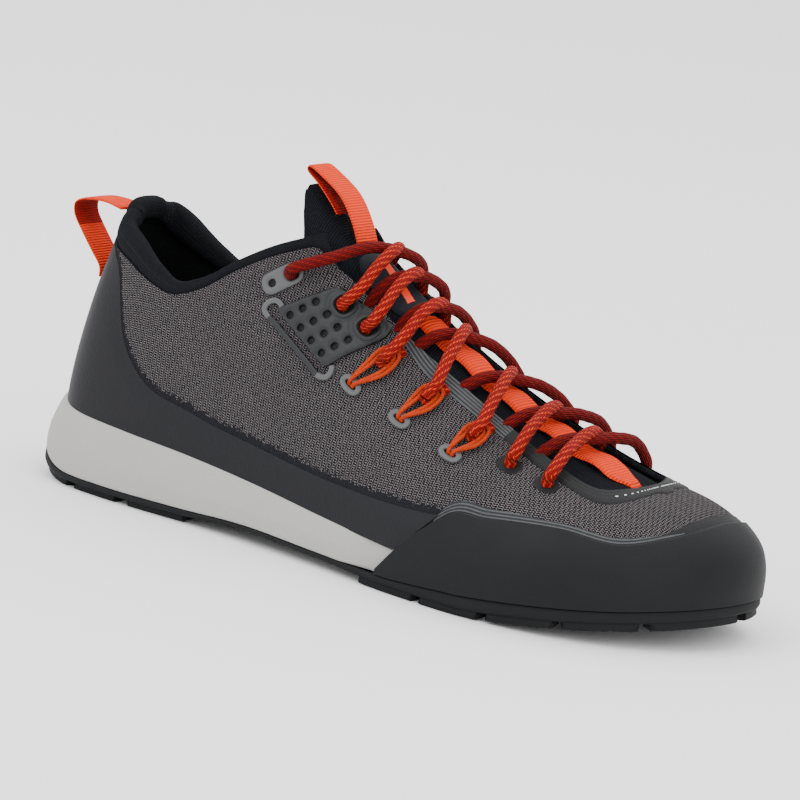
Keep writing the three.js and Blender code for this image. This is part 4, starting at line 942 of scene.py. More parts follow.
def build_sole(looks):
    """Rubber outsole with a rounded edge and its main lugs, and the foam midsole
    wedge with its flared side."""
    t = np.linspace(0, STATIONS, 561)[:-1]
    plate = rings([
        (lambda p, t: 16 + 0 * t, lambda p, t: p.rise + LUG_DEPTH),
        (lambda p, t: 1.6 + 0.1 * p.skin, lambda p, t: p.rise + LUG_DEPTH),
        (lambda p, t: 0.8 + 0 * t, lambda p, t: p.rise + LUG_DEPTH + 0.12 * (p.skin - LUG_DEPTH)),
        (lambda p, t: 0.3 + 0 * t, lambda p, t: p.rise + LUG_DEPTH + 0.35 * (p.skin - LUG_DEPTH)),
        (lambda p, t: 0.06 * p.skin, lambda p, t: p.rise + p.skin - 0.4),
        (lambda p, t: 0.06 * p.skin + 0.3, lambda p, t: p.rise + p.skin),
        (lambda p, t: 0.06 * p.skin + 1.6, lambda p, t: p.rise + p.skin),
    ], t)
    surface = Surface().grid(plate, closed=True)
    base = plate[:, 0]
    half = len(t) // 2
    bridge = np.linspace(0, 1, 9)[None, :, None]
    left, right = base[1:half], base[:half:-1]
    surface.grid(left[:, None] * (1 - bridge) + right[:, None] * bridge)
    f = np.linspace(0, 1, 25)
    for start, stop in EDGE_LUGS:
        for side in ((1,) if start < 1.7 else (1, -1)):
            where = start + (stop - start) * f
            where = where if side > 0 else STATIONS - where
            ring = []
            near = 0.9 if start > 7 else 1.9
            section = ((near, 3.3), (near - 0.7, 0.6), (near, 0.0), (LUG_WIDTH - 1, 0.0), (LUG_WIDTH, 3.3))
            for inset, sink in section:
                outer = foot_at(where)
                q = foot_at(where, inset + 0.12 * outer.skin * (inset < 3))
                ring.append(np.stack([q.x, q.y, underside(q.x, q.y) + sink], -1))
            block = np.stack(ring, 1)
            ends = block.mean(1, keepdims=True)
            block[0], block[-1] = ends[0], ends[-1]
            block = np.concatenate([block[:1], block[1:2], block[1:-1], block[-2:-1], block[-1:]])
            surface.grid(block)
    for along, long, wide in CROSS_LUGS:
        y = np.linspace(-0.5, 0.5, 25) * wide * BALL_WIDTH
        bend = -6 * np.abs(y) / (wide * BALL_WIDTH) * 2
        ring = []
        for out, sink in ((-0.30, 3.2), (-0.28, 0.0), (0.28, 0.0), (0.30, 3.2)):
            x = along * LENGTH + out * long * LENGTH + bend
            ring.append(np.stack([x, y, underside(x, y) + sink], -1))
        surface.grid(np.stack(ring, 1))
    surface.build("tread_outsole", [looks.outsole], ["outsole"], "sole_rubber")

    def cover(t):
        return np.clip((side_station(t) - 7.3) / 0.4, 0, 1)

    def inner(p, t):
        return cover(t) * (p.flare + LEDGE + GAP)

    def level(p, share):
        low, high = p.rise + p.skin + GAP, p.seat - GAP
        return low + (high - low) * share

    rows = [(lambda p, t: np.maximum(0.06 * p.skin, inner(p, t)) + 1.5, lambda p, t: level(p, 0) - 0.1)]
    shares = np.concatenate([[0, 0.015], np.linspace(0.05, 0.95, 19), [0.985, 1.0, 1.0]])
    sides = np.interp(shares, [0, 0.4, 0.85, 1], [0, 0.25, 0.72, 1])
    bulge = 0.5 * np.sin(np.pi * shares)
    edge = np.concatenate([[0.35, 0.1], np.zeros(19), [0.15, 0.5, 12.0]])
    for share, side, out, soft in zip(shares, sides, bulge, edge):
        def inset(p, t, side=side, out=out, soft=soft):
            open_side = (side * p.flare - out) * (1 - cover(t))
            return np.maximum(open_side + inner(p, t), 0.06 * p.skin * (1 - side)) + soft
        rows.append((inset, lambda p, t, share=share: level(p, share)))
    surface = Surface().grid(rings(rows, t), closed=True)
    surface.build("foam_midsole", [looks.foam], ["midsole"], "midsole_foam")


def build_insole(looks):
    """Sock liner over the midsole, a little proud in the middle of its edge."""
    t = np.linspace(0, STATIONS, 281)[:-1]

    def base(p, t):
        return p.flare + LEDGE + UPPER_WALL + 0.6

    rows = [(lambda p, t, d=d: base(p, t) + d, lambda p, t, z=z: p.seat + z * INSOLE_THICKNESS)
            for d, z in ((0, 0.0), (0, 0.7), (0.6, 0.9), (2.0, 1.0), (16, 1.0))]
    grid = rings(rows, t)
    surface = Surface().grid(grid, closed=True)
    inner = grid[:, -1]
    half = len(t) // 2
    f = np.linspace(0, 1, 7)[None, :, None]
    surface.grid(inner[1:half][:, None] * (1 - f) + inner[:half:-1][:, None] * f)
    surface.build("sock_liner", [looks.lining], ["insole"], "lining")


def build_collar(looks):
    """Padded roll on the top edge of the upper: a soft oval section with slight puckers."""
    reach = COLLAR_END + COLLAR_RUN
    t = np.linspace(-reach, reach, 401)
    low = edge_angle(t)
    base = skin_point(t, low, np.zeros_like(t))
    thick = skin_point(t, low, np.ones_like(t)) - base
    rise = skin_point(t, angle_at(t, collar_value(t, "rim")), np.zeros_like(t)) - base
    up = rise - (rise * thick).sum(-1, keepdims=True) * thick
    end = smooth(COLLAR_END - COLLAR_RUN, reach, np.abs(t))
    size = np.clip(np.linalg.norm(up, axis=-1), 2, 40 - 36.4 * end)
    size = size + MEDIAL_ROLL.rise * np.exp(-((t + MEDIAL_ROLL.station) / MEDIAL_ROLL.spread) ** 2)
    up = unit(up)
    half = 0.5 * (collar_value(t, "pad") + 0.6) * (1 - 0.55 * end)
    a = 2 * np.pi * (np.arange(36) + 0.5) / 36
    across = np.sign(np.cos(a)) * np.abs(np.cos(a)) ** 0.8
    along = np.sign(np.sin(a)) * np.abs(np.sin(a)) ** 0.72
    pucker = 1 + 0.018 * np.sin(t * 9.0) * np.sin(t * 3.1 + 1)
    taper = np.sqrt(np.clip((reach - np.abs(t)) / 0.12, 0.02, 1))
    centre = base + up * (0.25 + size / 2)[:, None] + thick * (0.6 - half)[:, None]
    sideways = (half * pucker * taper)[:, None, None] * across[None, :, None]
    upwards = ((size / 2 + 0.35) * taper)[:, None, None] * along[None, :, None]
    points = centre[:, None, :] + thick[:, None, :] * sideways + up[:, None, :] * upwards
    uv = line_uv(centre, 36)
    uv[..., 1] *= 26
    surface = Surface().grid(points, uv, around=True)
    piece = surface.build("padded_collar", [looks.collar], ["collar"], "lining")


def tongue_value(x, name):
    """Tongue table in millimetres."""
    return cubic(TONGUE, "along", name, x / LENGTH) * BALL_WIDTH


def build_tongue(looks):
    """Padded mesh tongue under the throat with a bound edge, its patch and the webbing on it."""
    a = 2 * np.pi * (np.arange(64) + 0.5) / 64
    s = np.sign(np.cos(a)) * np.abs(np.cos(a)) ** 0.45
    through = np.sign(np.sin(a)) * np.abs(np.sin(a)) ** 0.5
    u = np.linspace(0, 1, 131)
    x = (TONGUE["along"][0] + (TONGUE["along"][-1] - TONGUE["along"][0]) * u)[:, None] * LENGTH
    taper = np.sqrt(np.clip(u / 0.03, 0.02, 1))[:, None] * np.sqrt(np.clip((1 - u) / 0.02, 0.02, 1))[:, None]
    rounding = (2 + 3 * s[None, :] ** 2) * (1 - smooth(0, 0.08, u))[:, None]
    plump = 0.5 * (1 - smooth(0.1, 0.3, u))[:, None]
    half = 0.5 * (TONGUE_THICKNESS + 2 * plump) * (0.6 + 0.4 * taper)
    thin = 1 - 0.35 * s[None, :] ** 6
    lift = -tongue_value(x, "drop") - 0.5 * TONGUE_THICKNESS + half * through[None, :] * thin
    wide = s[None, :] * tongue_value(x, "half") * (0.8 + 0.2 * taper)
    points = roof_point(x + rounding, ridge_across(x) + wide, lift)
    grid_uv = np.stack(np.broadcast_arrays(x, np.append(s, s[:1])[None, :] * tongue_value(x, "half")), -1)
    surface = Surface().grid(points, grid_uv, around=True)
    for row in (0, -1):
        fan = points[row]
        centre = np.broadcast_to(fan.mean(0), fan.shape)
        surface.grid(np.stack([centre, fan], 0), around=True)
    piece = surface.build("mesh_tongue", [looks.tongue], ["tongue"], "tongue_mesh")

    def patch(span, width, thickness, columns, rows, low=0.05):
        u, v = np.meshgrid(np.linspace(0, 1, columns), np.linspace(-1, 1, rows), indexing="ij")
        x = (span[0] + (span[1] - span[0]) * u) * LENGTH
        edge = np.minimum(1 - np.abs(v), 2 * np.minimum(u, 1 - u) * 3)
        lift = GAP - tongue_value(x, "drop") + low + (thickness - low) * smooth(0, 0.14, edge)
        at = roof_point(x, ridge_across(x) + v * 0.5 * width(u), lift)
        return at, np.stack([x, v * 0.5 * width(u)], -1), x, v

    def badge_width(u):
        return 0.235 * BALL_WIDTH * (1 - 0.35 * np.abs(2 * u - 1) ** 5)

    def ribbon_width(u):
        return TONGUE_WEBBING_WIDTH * (1 - 0.6 * smooth(0.9, 1, u))

    points, uv, x, v = patch(BADGE, badge_width, 1.0, 61, 61)
    ahead = uv[..., 0] - BADGE_BAR.middle
    bar = (np.abs(uv[..., 1] + 0.35 * ahead) < BADGE_BAR.width / 2) & (np.abs(ahead) < BADGE_BAR.length / 2)
    surface = Surface().grid(points, uv)
    surface.looks[0] = bar[:-1, :-1].astype(int).reshape(-1)
    surface.build("tongue_patch", [looks.badge, looks.bar], ["tongue_badge"], "badge")
    points, uv, x, v = patch(WEBBING, ribbon_width, 1.1, 161, 25)
    share = x / LENGTH
    arch = 1.6 * np.sin(np.pi * np.mod((share - 0.5615) / 0.0645, 1)) ** 2
    arch = arch * (share > 0.56) * (share < 0.82)
    points[..., 2] += arch
    uv = np.stack([uv[..., 0], uv[..., 1] / 30], -1)
    Surface().grid(points, uv).build("tongue_ribbon", [looks.webbing], ["tongue_webbing"], "webbing")


def build_straps(looks):
    """Heel loop and folded pull tab of ribbed webbing; a darker red copy of the webbing is painted shade where
    the inner face is turned in.
    """
    for name, rows, across, width, node in (
            ("heel_pull", HEEL_LOOP, -0.02, HEEL_LOOP_WIDTH, "heel_loop"),
            ("tongue_pull", PULL_TAB, 0.02, PULL_TAB_WIDTH, "tongue_tab")):
        z = rows["up"] * HEEL_HEIGHT
        if "back" in rows:
            clearance = 3.8 * GAP + FILM_THICKNESS + GAP + WEBBING_THICKNESS / 2
            x = skin_point(0 * z, angle_at(0 * z, z), 0 * z)[:, 0] - clearance - rows["back"] * LENGTH
        else:
            x = rows["along"] * LENGTH
        line = np.stack([x, np.full(len(z), across * BALL_WIDTH), z], -1)
        line = smooth_line(line, 120)
        if name == "heel_pull":
            line[:, 0] += 1.7 * smooth(0.72, 1, np.linspace(0, 1, len(line)))
        tangent = np.gradient(line, axis=0)
        hint = unit(np.cross(np.array([0.0, 1.0, 0.0]), tangent))
        section = ribbon(width, WEBBING_THICKNESS, 28)
        scale = np.ones(len(line))
        scale[[0, -1]] = 0.05
        points = sweep(line, hint, section, scale)
        uv = line_uv(line, 28)
        surface = Surface().grid(points, uv, around=True)
        faces = np.broadcast_to(np.arange(28)[None, :], (len(line) - 1, 28))
        # painted shade: faces turned in take the darker red copy of the webbing; on the heel loop only the rows
        # from the bend to a third down, where the strap lies in shadow
        inner = faces >= 14
        if name == "heel_pull":
            row = np.arange(len(line) - 1)[:, None]
            inner = inner & (row > 34) & (row < 72)
        surface.looks[0] = inner.astype(int).reshape(-1)
        surface.build(name, [looks.webbing, looks.webbing_in_shade], [node], "webbing")


def build_trim(looks):
    """Ribbed band on the throat edge, dark round the front with two rows of stitches, and the dark
    patches of the front eyelets."""
    t = np.linspace(TRIM_START, STATIONS - TRIM_START, 361)
    v = np.linspace(0, 1, 12)
    width = THROAT_TRIM_WIDTH * smooth(TRIM_START - 0.3, TRIM_START + 0.6, side_station(t))
    width = width * (1 + 0.35 * smooth(12.2, 13.6, side_station(t)))
    low, high = throat_angle(t, width), throat_angle(t, 0.1)
    angle = low[:, None] + (high - low)[:, None] * v[None, :]
    lift = 0.1 + 0.45 * smooth(0, 0.12, v) + 0.1 * np.sin(v * np.pi * 8) * (v > 0.1)
    uv = np.stack(np.broadcast_arrays(t[:, None] * 20, (width[:, None] * v[None, :])), -1)
    points = skin_point(t[:, None], angle, lift[None, :])
    surface = Surface().grid(points, uv)
    surface.looks[0] = (points[:-1, :-1, 0] > TRIM_DARK_FROM).astype(int).reshape(-1)
    fan = np.linspace(0, 1, 8)[None, :, None]
    for side in (-1, 1):
        for index in (6, 7):
            here = frame_at(*lace_place(index, side))
            flat = np.array([0, -1.5]) + oval((0, 0), 9.5, 7.5)[:, None] * fan
            surface.grid(drape(here, flat[..., 0], flat[..., 1], 0.25), closed=True, look=1)
    for at in np.concatenate([np.linspace(10.6, 13.5, 16), np.linspace(14.5, 17.4, 16)]):
        pair = np.array([at - 0.035, at + 0.035])
        ends = skin_point(pair, throat_angle(pair, 3.2), [0.7, 0.7])
        line = ends[0] + (ends[1] - ends[0]) * np.linspace(0, 1, 6)[:, None]
        thread = sweep(line, np.array([0, 0, 1.0]), circle(0.26, 6), np.array([0.2, 0.9, 1, 1, 0.9, 0.2]))
        surface.grid(thread, around=True, look=2)
    surface.build("throat_band", [looks.trim, looks.black_film, looks.thread], ["throat_trim"], "trim")


def plate_surface(surface, place, outer, holes, low, high, spacing, relief, look=0):
    """Moulded plate draped on the last: a triangulated flat shape with holes, its edges rounded
    over, and walls down its outline and its holes."""
    loops = [spaced(outer, spacing)] + [spaced(h, spacing * 0.6) for h in holes]
    lowest, highest = outer.min(0), outer.max(0)
    gx, gy = np.meshgrid(np.arange(lowest[0], highest[0], spacing), np.arange(lowest[1], highest[1], spacing))
    cells = np.stack([gx.reshape(-1), gy.reshape(-1)], -1)
    keep = inside(cells, loops[0]) & (edge_distance(cells, loops) > 0.45 * spacing)
    for hole in loops[1:]:
        keep &= ~inside(cells, hole)
    ring_counts = [len(loop) for loop in loops]
    points = np.concatenate(loops + [cells[keep]])
    edges, start = [], 0
    for n in ring_counts:
        edges += [(start + k, start + (k + 1) % n) for k in range(n)]
        start += n
    made = geometry.delaunay_2d_cdt([Vector(p) for p in points], edges, [], 0, 1e-6)
    flat = np.array([tuple(v) for v in made[0]])
    faces = np.array([f for f in made[2] if len(f) == 3])
    middle = flat[faces].mean(1)
    good = inside(middle, loops[0])
    for hole in loops[1:]:
        good &= ~inside(middle, hole)
    faces = faces[good]
    d = edge_distance(flat, loops)
    radius = 0.7
    fall = radius * (1 - np.sqrt(np.clip(1 - (1 - np.clip(d / radius, 0, 1)) ** 2, 0, 1)))
    top = drape(place, flat[:, 0], flat[:, 1], high - fall + relief(flat))
    surface.add(top, faces, flat[faces.reshape(-1)], look)
    for loop in loops:
        f = np.array([high - radius, low])
        wall = drape(place, loop[:, 0:1], loop[:, 1:2], f[None, :])
        surface.grid(wall, closed=True, look=look)


def place_of(side, station):
    """Station on the lateral or the medial side."""
    return station if side < 0 else STATIONS - station


def wing_frame(side):
    """Tangent frame of the eyestay wing."""
    return frame_at(place_of(side, WING.station - (WING.set_back if side > 0 else 0)), WING.angle, WING.turn)


def plate_frame(side):
    """Tangent frame of the top eyelet plate."""
    station = EYELET_PLATE.station - (EYELET_PLATE.set_back if side > 0 else 0)
    return frame_at(place_of(side, station), EYELET_PLATE.angle, EYELET_PLATE.turn)


def oval(centre, long, wide, steps=32, turn=0.0):
    """Closed oval with flat sides."""
    a = 2 * np.pi * np.arange(steps) / steps
    x = 0.5 * long * np.sign(np.cos(a)) * np.abs(np.cos(a)) ** 0.8
    y = 0.5 * wide * np.sign(np.sin(a)) * np.abs(np.sin(a)) ** 0.8
    c, s = math.cos(turn), math.sin(turn)
    return np.stack([centre[0] + x * c - y * s, centre[1] + x * s + y * c], -1)


def build_eyestay(looks):
    """Vented wings with rimmed eyelets, their bracket-shaped anchors, the top eyelet plates and
    the grommets of the cord loops, on both sides."""
    for side, word in ((-1, "lateral"), (1, "medial")):
        place = wing_frame(side)
        outer = round_corners(WING_CORNERS, 2.2)
        holes = [oval(e, 6.4, 5.2) for e in WING_EYELETS]
        vents = [(-6.3 + 6.5 * i - 1.6 * j, 12.8 - 5.1 * j) for i in range(4) for j in range(3)]
        holes += [oval(vent, WING_VENT, WING_VENT, 16) for vent in vents]
        rims = [spaced(oval(e, 12.6, 10.2, 40), 0.4) for e in WING_EYELETS]

        def relief(flat):
            return -0.5 * np.exp(-(edge_distance(flat, rims) / 0.5) ** 2)

        surface = Surface()
        plate_surface(surface, place, outer, holes, 0.2, 0.6 + PLATE_THICKNESS, 0.8, relief)
        for hole in WING_EYELETS:
            flat = oval(hole, 8.6, 7.2, 40)
            line = drape(place, flat[:, 0], flat[:, 1], 0.7 + PLATE_THICKNESS)
            rim = sweep(line, place.normal, ribbon(1.5, 0.9, 12), closed=True)
            surface.grid(rim, line_uv(line, 12, True), around=True, closed=True)
        patch = spaced(outer * 0.93 + outer.mean(0) * 0.07, 1.2)
        fan = np.linspace(0, 1, 12)[None, :, None]
        flat = patch.mean(0) + (patch[:, None] - patch.mean(0)) * fan
        surface.grid(drape(place, flat[..., 0], flat[..., 1], 0.3), closed=True, look=1)
        finish = [looks.wing, looks.black_film]
        surface.build(f"wing_plate_{word}", finish, [f"eyestay_wing_{word}"], "wing_plastic")
        line = [(-13.6, 2.6), (-15.4, 2.9), (-17.6, 2.2), (-19, -0.8), (-18, -3.2), (-10, -3.4), (0, -3.4),
                (10, -3.4), (15.4, -3.2), (17.9, -1), (17.2, 2), (15.9, 3.0)]
        line = np.array(line) * [1.02, 1] - [0, 0.4]
        points = smooth_line(drape(place, line[:, 0], line[:, 1], 0.7), 110)
        section = ribbon(2.1, 1.4, 16)
        scale = np.ones(len(points))
        scale[[0, -1]] = 0.1
        bracket = sweep(points, place.normal, section, scale)
        surface = Surface().grid(bracket, line_uv(points, 16), around=True)
        surface.looks[0] = np.repeat((np.abs(np.arange(len(points) - 1) - 60) < 24).astype(int), 16)
        surface.build(f"anchor_{word}", [looks.plate, looks.wing], [f"wing_anchor_{word}"], "trim")
        top = plate_frame(side)
        finish = [looks.plate, looks.black_film]
        a, b = 0.5 * EYELET_PLATE.length, 0.5 * EYELET_PLATE.width
        stadium = round_corners([(-a, -b), (a, -b), (a, b), (-a, b)], b - 0.1, 10)
        reach = a - b
        surface = Surface()
        plate_surface(surface, top, stadium, [oval((-reach, 0), 3, 3, 24), oval((reach, 0), 5, 5, 24)],
                      0.1, 0.3 + PLATE_THICKNESS, 0.7, lambda flat: 0)
        flat = spaced(stadium * 0.8, 1.2)[:, None] * fan
        surface.grid(drape(top, flat[..., 0], flat[..., 1], 0.3), closed=True, look=1)
        surface.build(f"eyelet_stadium_{word}", finish, [f"eyelet_plate_{word}"], "trim")
        for index in (3, 4, 5):
            t, angle = lace_place(index, side)
            here = frame_at(t, angle)
            reach = LACE_ROWS["loop"][index] * BALL_WIDTH
            ring = 2 * GROMMET.ring
            flat = oval((-LOOP_LEAN * reach, -reach), GROMMET.length - ring, GROMMET.width - ring, 40)
            line = drape(here, flat[:, 0], flat[:, 1], 0.75)
            section = ribbon(ring, 1.2, 14)
            grommet = sweep(line, here.normal, section, closed=True)
            surface = Surface().grid(grommet, line_uv(line, 14, True), around=True, closed=True)
            disc = np.array([-LOOP_LEAN * reach, -reach]) + (flat - [-LOOP_LEAN * reach, -reach])[:, None] * fan
            surface.grid(drape(here, disc[..., 0], disc[..., 1], 0.2), closed=True, look=1)
            surface.build(f"grommet_{index}_{word}", finish, [f"loop_grommet_{index}_{word}"], "trim")


def lace_place(index, side):
    """Station and angle of a lace row on one side of the ridge."""
    x = LACE_ROWS["along"][index] * LENGTH
    y = ridge_across(x) + side * LACE_ROWS["reach"][index] * BALL_WIDTH
    t, angle = plan_to_last(x, y)
    return float(t), float(angle)


def build_loops(looks):
    """Thin double cords from the grommets up round the turns of the lace."""
    for side, word in ((-1, "lateral"), (1, "medial")):
        for index in (3, 4, 5):
            here = frame_at(*lace_place(index, side))
            reach = LACE_ROWS["loop"][index] * BALL_WIDTH
            foot = -LOOP_LEAN * reach
            surface = Surface()
            for offset in (-0.8, 0.8):
                wide = 3.3 + offset
                row = [(foot - 0.8 - 0.3 * offset, -reach, 0.3), (foot - 1.0, -reach + 1, 1.6),
                       (-wide, -0.35 * reach, 2.4), (-wide, 0.5, 3.0), (-0.55 * wide, 2.6 + offset, 3.0),
                       (0.55 * wide, 2.6 + offset, 3.0), (wide, 0.5, 3.0), (wide - 0.2, -0.35 * reach, 2.4),
                       (foot + 1.2, -reach + 1, 1.6), (foot + 0.8 + 0.3 * offset, -reach, 0.3)]
                row = np.array(row)
                line = smooth_line(drape(here, row[:, 0], row[:, 1], row[:, 2]), 70)
                cord = sweep(line, here.normal, circle(LOOP_CORD_RADIUS, 10))
                surface.grid(cord, line_uv(line, 10), around=True)
            surface.build(f"cord_loop_{index}_{word}", [looks.cord], [f"lace_loop_{index}_{word}"], "cord")


def strand_start(index, side):
    """First points of a strand: out of its hole, or round the turn of its cord loop."""
    if index > 2:
        here = frame_at(*lace_place(index, side))
        if LACE_ROWS["loop"][index]:
            rows = [(0.5, 6.5, 0.6), (0.2, 1.0, 1.2), (0, -2.4, 2.6), (0, -0.8, 4.6), (0, 2.2, 5.6)]
        else:
            rows = [(0, -1.2, -2.0), (0, -0.9, 0.4), (0, -0.2, 2.6), (0, 1.6, 4.0)]
    elif index:
        here = wing_frame(side)
        a, b = WING_EYELETS[index - 1]
        rows = [(a - 0.6, b - 0.6, -1.5), (a - 0.3, b - 0.3, 1.2), (a, b, 3.4), (a + 0.5, b + 1.6, 4.9)]
    else:
        here = plate_frame(side)
        a = 0.5 * (EYELET_PLATE.length - EYELET_PLATE.width)
        rows = [(a - 0.8, 0, -1.5), (a - 0.5, 0, 1.0), (a, 0, 3.0), (a + 1.5, 0.4, 4.4)]
    rows = np.array(rows)
    return drape(here, rows[:, 0], rows[:, 1], rows[:, 2])


def strand_line(index, side, middle):
    """Centre line of a strand from its row over the throat edge to under the far edge."""
    start = strand_start(index, side)
    rows = LACE_ROWS["along"]
    dive, bow = LACE_ROWS["dive"][index], LACE_ROWS["bow"][index]
    x = (rows[index] + (rows[index - 1] - rows[index]) * dive) * LENGTH
    half = cubic(SPINE, "along", "gap", x / LENGTH) * BALL_WIDTH
    end = np.array([x, ridge_across(x) - side * (half - 2.4)])
    drop = LACE_RADIUS + GAP - tongue_value(x, "drop") + (1.8 if index == 2 else 0)
    f = np.array([0.2, 0.38, 0.56, 0.75, 0.9, 1.0, 1.12])
    lift = np.array([6, (5.6 + middle) / 2, middle, middle + (2.4 - middle) * 0.45, 1.8, drop, drop - 2.4])
    plan = start[-1, :2] + (end - start[-1, :2]) * f[:, None]
    rest = roof_point(plan[:, 0] + 4 * f * (1 - f) * bow * BALL_WIDTH, plan[:, 1], lift)
    return np.concatenate([start, rest])


def top_line(side):
    """Centre line of the last crossing, which runs on to the top eyelet plate."""
    low, high = strand_start(1, side), strand_start(0, -side)
    f = np.array([0.2, 0.4, 0.6, 0.8])
    plan = low[-1, :2] + (high[-1, :2] - low[-1, :2]) * f[:, None]
    bow = 4 * f * (1 - f) * TOP_LACE_BOW * BALL_WIDTH
    middle = roof_point(plan[:, 0] + bow, plan[:, 1], np.array([5.2, 4.0, 3.6, 4.6]))
    return np.concatenate([low, middle, high[::-1]])


def build_laces(looks):
    """Braided laces: each crossing is a near strand over a far one, the far strand in a darker copy of the lace
    as painted shade.
    """
    hint = unit(np.array([0.45, 0.0, 1.0]))
    for index in range(1, 8):
        over = strand_line(index, -1, 5.8)
        under = strand_line(index, 1, 2.8) if index > 1 else top_line(1)
        surface = Surface()
        # the far strand takes the darker copy of the lace, painted shade
        for line, look in ((over, 0), (under, 1)):
            line = smooth_line(line, 110)
            wobble = 1 + 0.02 * np.sin(np.arange(len(line)) * 0.9)
            cord = sweep(line, hint, circle(LACE_RADIUS, 20, 0.94), wobble)
            surface.grid(cord, line_uv(line, 20), around=True, look=look)
        surface.build(f"lace_{index}", [looks.lace, looks.lace_far_shade], [f"lace_crossing_{index}"], "lace")


def build_stage(sizes):
    """Pale floor, large soft lights and the camera of the three-quarter view."""
    look = Look("pale studio floor", roughness=0.9, specular=0.1)
    floor = bpy.data.meshes.new("floor")
    floor.from_pydata([(-6, -6, 0), (6, -6, 0), (6, 6, 0), (-6, 6, 0)], [], [(0, 1, 2, 3)])
    floor.materials.append(look.colour("#f4f4f4"))
    ground = bpy.data.objects.new("floor", floor)
    bpy.context.scene.collection.objects.link(ground)
    world = bpy.context.scene.world or bpy.data.worlds.new("studio")
    bpy.context.scene.world = world
    world.use_nodes = True
    back = world.node_tree.nodes["Background"]
    back.inputs["Color"].default_value = linear("#ffffff")
    back.inputs["Strength"].default_value = sizes.sky
    lamps = (("key", (-0.5, -1.3, 1.6), 1.2, 1.0), ("fill", (1.6, -0.6, 1.0), 1.2, 0.45),
             ("top", (0.1, 0.5, 1.8), 1.4, 0.6))
    for name, place, size, share in lamps:
        light = bpy.data.lights.new(name, "AREA")
        light.energy, light.size = sizes.key * share, size
        lamp = bpy.data.objects.new(name, light)
        lamp.location = place
        lamp.rotation_euler = (Vector((0, 0, 0.05)) - Vector(place)).to_track_quat("-Z", "Y").to_euler()
        bpy.context.scene.collection.objects.link(lamp)
    azimuth, height, roll = sizes.azimuth, sizes.height, sizes.roll
    right = Vector((math.cos(azimuth), math.sin(azimuth), 0))
    level = math.cos(height)
    back = Vector((math.sin(azimuth) * level, -math.cos(azimuth) * level, math.sin(height)))
    up = back.cross(right)
    x = right * math.cos(roll) + up * math.sin(roll)
    y = up * math.cos(roll) - right * math.sin(roll)
    pixel = 0.001 / 2.75
    aim = Vector((0.154, 0, 0.050)) + Vector(SHIFT) - x * (5 * pixel) + y * (22 * pixel)
    where = aim + back * sizes.distance
    data = bpy.data.cameras.new("camera")
    data.sensor_width, data.lens = 36, 36 * (2750 * sizes.distance) / 800
    camera = bpy.data.objects.new("camera", data)
    camera.matrix_world = Matrix.Translation(where) @ Matrix((x, y, back)).transposed().to_4x4()
    bpy.context.scene.collection.objects.link(camera)
    bpy.context.scene.camera = camera


class ShoeSizes(bpy.types.PropertyGroup):
    """Sizes of the finishes and of the stage."""

    knit_cell: bpy.props.FloatProperty(
        name="Knit cell", description="Height of one course of the knit",
        default=0.00087, unit="LENGTH", precision=5)
    knit_relief: bpy.props.FloatProperty(
        name="Knit relief", description="Strength of the relief of the knit",
        default=1.0, subtype="FACTOR")
    rib_pitch: bpy.props.FloatProperty(
        name="Rib pitch", description="Distance between the ribs of the webbing",
        default=0.00105, unit="LENGTH", precision=5)
    key: bpy.props.FloatProperty(
        name="Key light", description="Power of the key light", default=19.0, unit="POWER")
    sky: bpy.props.FloatProperty(
        name="Sky", description="Strength of the surrounding light", default=1.9)
    azimuth: bpy.props.FloatProperty(
        name="Azimuth", description="Turn of the camera round the shoe",
        default=math.radians(34), subtype="ANGLE")
    height: bpy.props.FloatProperty(
        name="Height", description="Angle of the camera above the horizon",
        default=math.radians(12), subtype="ANGLE")
    roll: bpy.props.FloatProperty(
        name="Roll", description="Roll of the camera", default=math.radians(7), subtype="ANGLE")
    distance: bpy.props.FloatProperty(
        name="Distance", description="Distance of the camera", default=1.5, unit="LENGTH")


class ShoeOperator:
    """Shared by the operators: builds one group of pieces."""

    bl_options = {"REGISTER", "UNDO"}

    def execute(self, context):
        """Makes the pieces with the finishes and sizes of the scene."""
        sizes = context.scene.approach_shoe
        self.make(shoe_looks(sizes), sizes)
        return {"FINISHED"}


class SHOE_OT_sole(ShoeOperator, bpy.types.Operator):
    """Outsole and midsole"""

    bl_idname, bl_label = "shoe.sole", "Sole"

    def make(self, looks, sizes):
        build_sole(looks)


class SHOE_OT_upper(ShoeOperator, bpy.types.Operator):
    """Knit upper and heel counter film"""

    bl_idname, bl_label = "shoe.upper", "Upper"

    def make(self, looks, sizes):
        build_upper(looks)
        build_counter(looks)


class SHOE_OT_rand(ShoeOperator, bpy.types.Operator):
    """Rubber rand with its ribbed band"""

    bl_idname, bl_label = "shoe.rand", "Rand"

    def make(self, looks, sizes):
        build_rand(looks)


class SHOE_OT_inside(ShoeOperator, bpy.types.Operator):
    """Insole and padded collar"""

    bl_idname, bl_label = "shoe.inside", "Insole and collar"

    def make(self, looks, sizes):
        build_insole(looks)
        build_collar(looks)


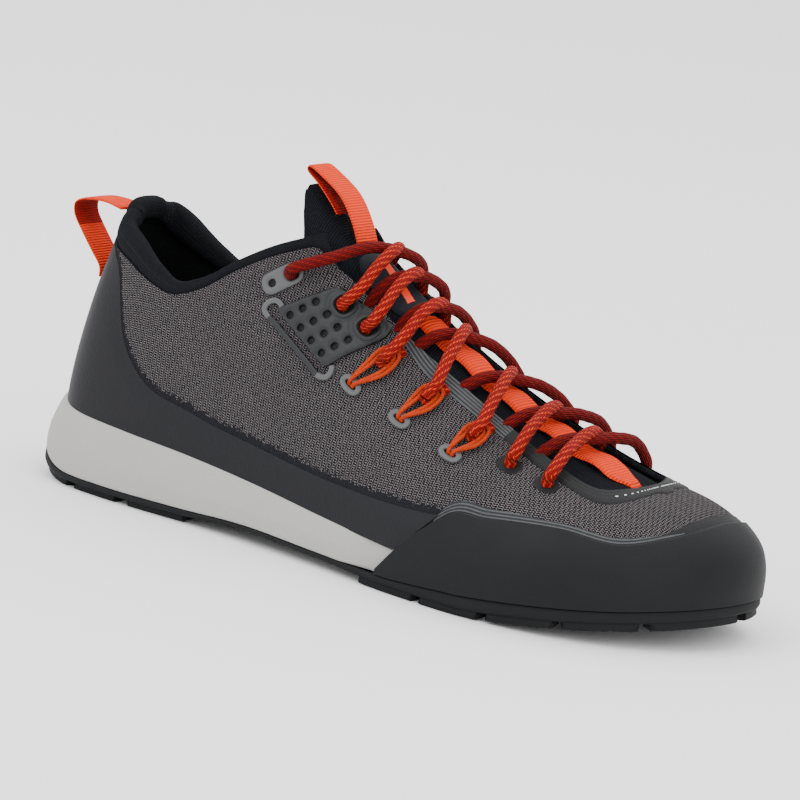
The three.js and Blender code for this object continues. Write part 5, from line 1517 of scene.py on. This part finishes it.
class SHOE_OT_tongue(ShoeOperator, bpy.types.Operator):
    """Tongue, patch and webbing"""

    bl_idname, bl_label = "shoe.tongue", "Tongue"

    def make(self, looks, sizes):
        build_tongue(looks)
        build_straps(looks)


class SHOE_OT_eyestay(ShoeOperator, bpy.types.Operator):
    """Throat trim, wings, plates and grommets"""

    bl_idname, bl_label = "shoe.eyestay", "Eyestay"

    def make(self, looks, sizes):
        build_trim(looks)
        build_eyestay(looks)


class SHOE_OT_laces(ShoeOperator, bpy.types.Operator):
    """Cord loops and laces"""

    bl_idname, bl_label = "shoe.laces", "Laces"

    def make(self, looks, sizes):
        build_loops(looks)
        build_laces(looks)


class SHOE_OT_stage(ShoeOperator, bpy.types.Operator):
    """Floor, lights and camera"""

    bl_idname, bl_label = "shoe.stage", "Stage"

    def make(self, looks, sizes):
        build_stage(sizes)


OPERATORS = (SHOE_OT_sole, SHOE_OT_upper, SHOE_OT_rand, SHOE_OT_inside, SHOE_OT_tongue, SHOE_OT_eyestay,
             SHOE_OT_laces, SHOE_OT_stage)


class SHOE_PT_panel(bpy.types.Panel):
    """Sizes and operators in the sidebar"""

    bl_label = "Approach shoe"
    bl_space_type = "VIEW_3D"
    bl_region_type = "UI"
    bl_category = "Shoe"

    def draw(self, context):
        """One row for each size and each operator."""
        sizes = context.scene.approach_shoe
        for name in ShoeSizes.__annotations__:
            self.layout.prop(sizes, name)
        for operator in OPERATORS:
            self.layout.operator(operator.bl_idname)


CLASSES = (ShoeSizes, *OPERATORS, SHOE_PT_panel)


def register():
    """Adds the classes and the sizes."""
    for cls in CLASSES:
        bpy.utils.register_class(cls)
    bpy.types.Scene.approach_shoe = bpy.props.PointerProperty(type=ShoeSizes)


def unregister():
    """Removes them again."""
    del bpy.types.Scene.approach_shoe
    for cls in reversed(CLASSES):
        bpy.utils.unregister_class(cls)


def main():
    """Builds the whole shoe and its stage."""
    register()
    for operator in OPERATORS:
        group, name = operator.bl_idname.split(".")
        getattr(getattr(bpy.ops, group), name)()


if __name__ == "__main__":
    main()
